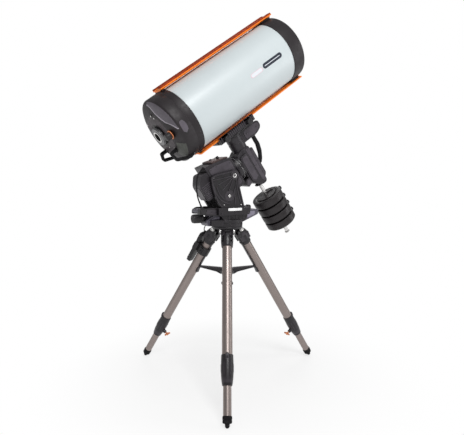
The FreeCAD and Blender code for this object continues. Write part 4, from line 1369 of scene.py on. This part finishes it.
def rails():
    low, high = -81, 667
    # Sections seen along the tube: corners are (x, y) with x outwards from the axis.
    half = [(180, 15), (183, 19), (183, 48.8), (182, 50), (177, 50), (176, 48.6), (174.5, 35), (171, 33)]
    body = [(x, -y) for x, y in reversed(half)] + half
    foot = rounded([(168.6, -30), (171.6, -32), (171.6, 32), (168.6, 30)], 0.4, 2)
    wedge = [(164.6, -44), (171.4, -46), (172.4, -34), (167, -26)]
    # The lower rail's face lies on the saddle, so its strips stay flush.
    for side, name, strip_face, stands_for in ((-1, "upper", 189, ["rails"]), (1, "lower", 183.02, ())):

        def slabs(part, look, bevel, sections, ends, replaced=()):
            b = Build()
            for section, (start, end) in zip(sections, ends):
                b.slab([(side * x, y) for x, y in section], start, end)
            piece("rail_%s_%s" % (name, part), b, ON_TUBE, look, replaced, bevel)

        slabs("body", "orange_anodised", 0.3, [body], [(low - 0.6, high + 0.6)], stands_for)
        strips = []
        for inner, outer in ((20, 49.6), (-20, -49.6)):
            strips.append(
                [(182, inner), (strip_face, inner * 1.05), (strip_face, outer * 0.97), (182, outer)]
            )
        slabs("tops", "rail_red", 0.2, strips, [(low, high)] * 2)
        slabs("channel", "rail_dark", 0.2, [oblong(179.9, -14.6, 180.6, 14.6)], [(low, high)])
        b = Build()
        for z in (-68, -50, 608, 640):
            b.screw_head(5.2, 2.4, at(side * 180.5, 0, z) @ turn("Y", 90 * side), 26)
        piece("rail_%s_bolts" % name, b, ON_TUBE, "bright_steel", (), 0.3)
        # Feet that carry the rail on each cell.
        feet, ends = [], []
        for start, end in ((-80, -62), (594, 656)):
            feet += [foot, wedge, [(x, -y) for x, y in wedge]]
            ends += [(start, end), (start + 2, end - 2), (start + 2, end - 2)]
        slabs("feet", "black_cast", 0.3, feet, ends)


tube_shell()
front_cell()
rear_cell()
focus_knob()
rear_port()
rear_handles()
rails()

# ---------------------------------------------------------------- cords

MOTOR_LEAD = [
    (-161.2, -46, 1101.5), (-192, -53, 1080), (-207, -63, 1043), (-211, -70, 1000), (-207, -74, 958),
    (-192, -73, 926), (-184, -72, 904),
]
CONTROLLER_CORD = [
    (-75, 78, 833.6), (-76, 82, 817), (-80, 93, 800), (-79, 107, 787), (-74.7, 116.3, 776),
    (-71.3, 120.4, 765),
]


def strain_relief(name, start, toward, radius, body):
    """A ribbed sleeve that narrows along the cord."""
    origin = Vector(start)
    direction = (Vector(toward) - origin).normalized()
    place = Matrix.Translation(origin) @ direction.to_track_quat("Z", "Y").to_matrix().to_4x4()
    wide = radius + 2.6
    profile = [(radius + 0.05, -1.5), (wide + 1, -1.5), (wide + 1, 2)]
    for ring_number in range(5):
        reach = wide - ring_number * 0.45
        level = 2.4 + 3.4 * ring_number
        profile += [
            (reach, level), (reach, level + 2.2), (reach - 0.9, level + 2.4), (reach - 0.9, level + 3.2),
        ]
    profile.append((radius + 0.05, profile[-1][1]))
    b = Build()
    b.lathe(profile, place, 28)
    return piece(name, b, (ROW, body), "rubber", (), 0)


lead = wire("motor_lead_cord", MOTOR_LEAD, 3.5, ON_BASE, "rubber", ["motor_lead"])
lead_top = strain_relief("lead_relief_top", MOTOR_LEAD[0], MOTOR_LEAD[1], 3.5, "azimuth_base")
lead_low = strain_relief("lead_relief_low", MOTOR_LEAD[-1], MOTOR_LEAD[-2], 3.5, "azimuth_base")

thin = wire("controller_cord_line", CONTROLLER_CORD, 2.5, ON_BASE, "rubber", ["controller_cord"])
thin_top = strain_relief("controller_relief", CONTROLLER_CORD[0], CONTROLLER_CORD[1], 2.5, "azimuth_base")

floor_mesh = bpy.data.meshes.new("floor")
floor_mesh.from_pydata([(-14, -14, 0), (14, -14, 0), (14, 14, 0), (-14, 14, 0)], [], [(0, 1, 2, 3)])
floor = bpy.data.objects.new("floor", floor_mesh)
bpy.context.scene.collection.objects.link(floor)
floor_look = Shader("floor_look")
floor_look.drive(
    "Base_Color",
    floor_look.ramp(floor_look.noise(2, 2), [(0.3, (0.9, 0.9, 0.9)), (0.7, (0.93, 0.93, 0.93))]),
)
floor_look.set(Roughness=0.95, Specular_IOR_Level=0.05)
# Away from the feet the floor fades into the white background.
glow = floor_look.nodes.new("ShaderNodeEmission")
reach = floor_look.nodes.new("ShaderNodeVectorMath")
reach.operation = "LENGTH"
floor_look.links.new(floor_look.place, reach.inputs[0])
fade = floor_look.nodes.new("ShaderNodeMapRange")
fade.interpolation_type = "SMOOTHSTEP"
fade.inputs["From Min"].default_value = 0.1
fade.inputs["From Max"].default_value = 1.1
fade.inputs["To Min"].default_value = 0.55
floor_look.links.new(reach.outputs["Value"], fade.inputs["Value"])
blend = floor_look.nodes.new("ShaderNodeMixShader")
floor_look.links.new(fade.outputs["Result"], blend.inputs["Fac"])
floor_look.links.new(floor_look.bsdf.outputs["BSDF"], blend.inputs[1])
floor_look.links.new(glow.outputs["Emission"], blend.inputs[2])
out = floor_look.nodes["Material Output"]
floor_look.links.new(blend.outputs["Shader"], out.inputs["Surface"])
floor_mesh.materials.append(floor_look.material)

world = bpy.data.worlds.new("studio")
bpy.context.scene.world = world
world.use_nodes = True
world.node_tree.nodes["Background"].inputs["Color"].default_value = (1, 1, 1, 1)
seen = world.node_tree.nodes.new("ShaderNodeLightPath")
level = world.node_tree.nodes.new("ShaderNodeMapRange")
level.inputs["To Min"].default_value = 0.42
level.inputs["To Max"].default_value = 1.0
world.node_tree.links.new(seen.outputs["Is Camera Ray"], level.inputs["Value"])
world.node_tree.links.new(level.outputs["Result"], world.node_tree.nodes["Background"].inputs["Strength"])


def area_light(name, place, aim, width, height, power):
    data = bpy.data.lights.new(name, "AREA")
    data.shape = "RECTANGLE"
    data.size = width
    data.size_y = height
    data.energy = power
    lamp = bpy.data.objects.new(name, data)
    bpy.context.scene.collection.objects.link(lamp)
    lamp.location = place
    lamp.rotation_euler = (Vector(aim) - Vector(place)).to_track_quat("-Z", "Y").to_euler()


area_light("key", (-0.9, -3.2, 4.1), (0, 0, 1.1), 1.8, 1.8, 122)
area_light("fill", (3.0, -2.0, 2.0), (0, 0, 1.0), 1.2, 2.6, 26)
area_light("rim", (2.2, 2.8, 3.6), (0, 0, 1.2), 2.4, 2.4, 40)
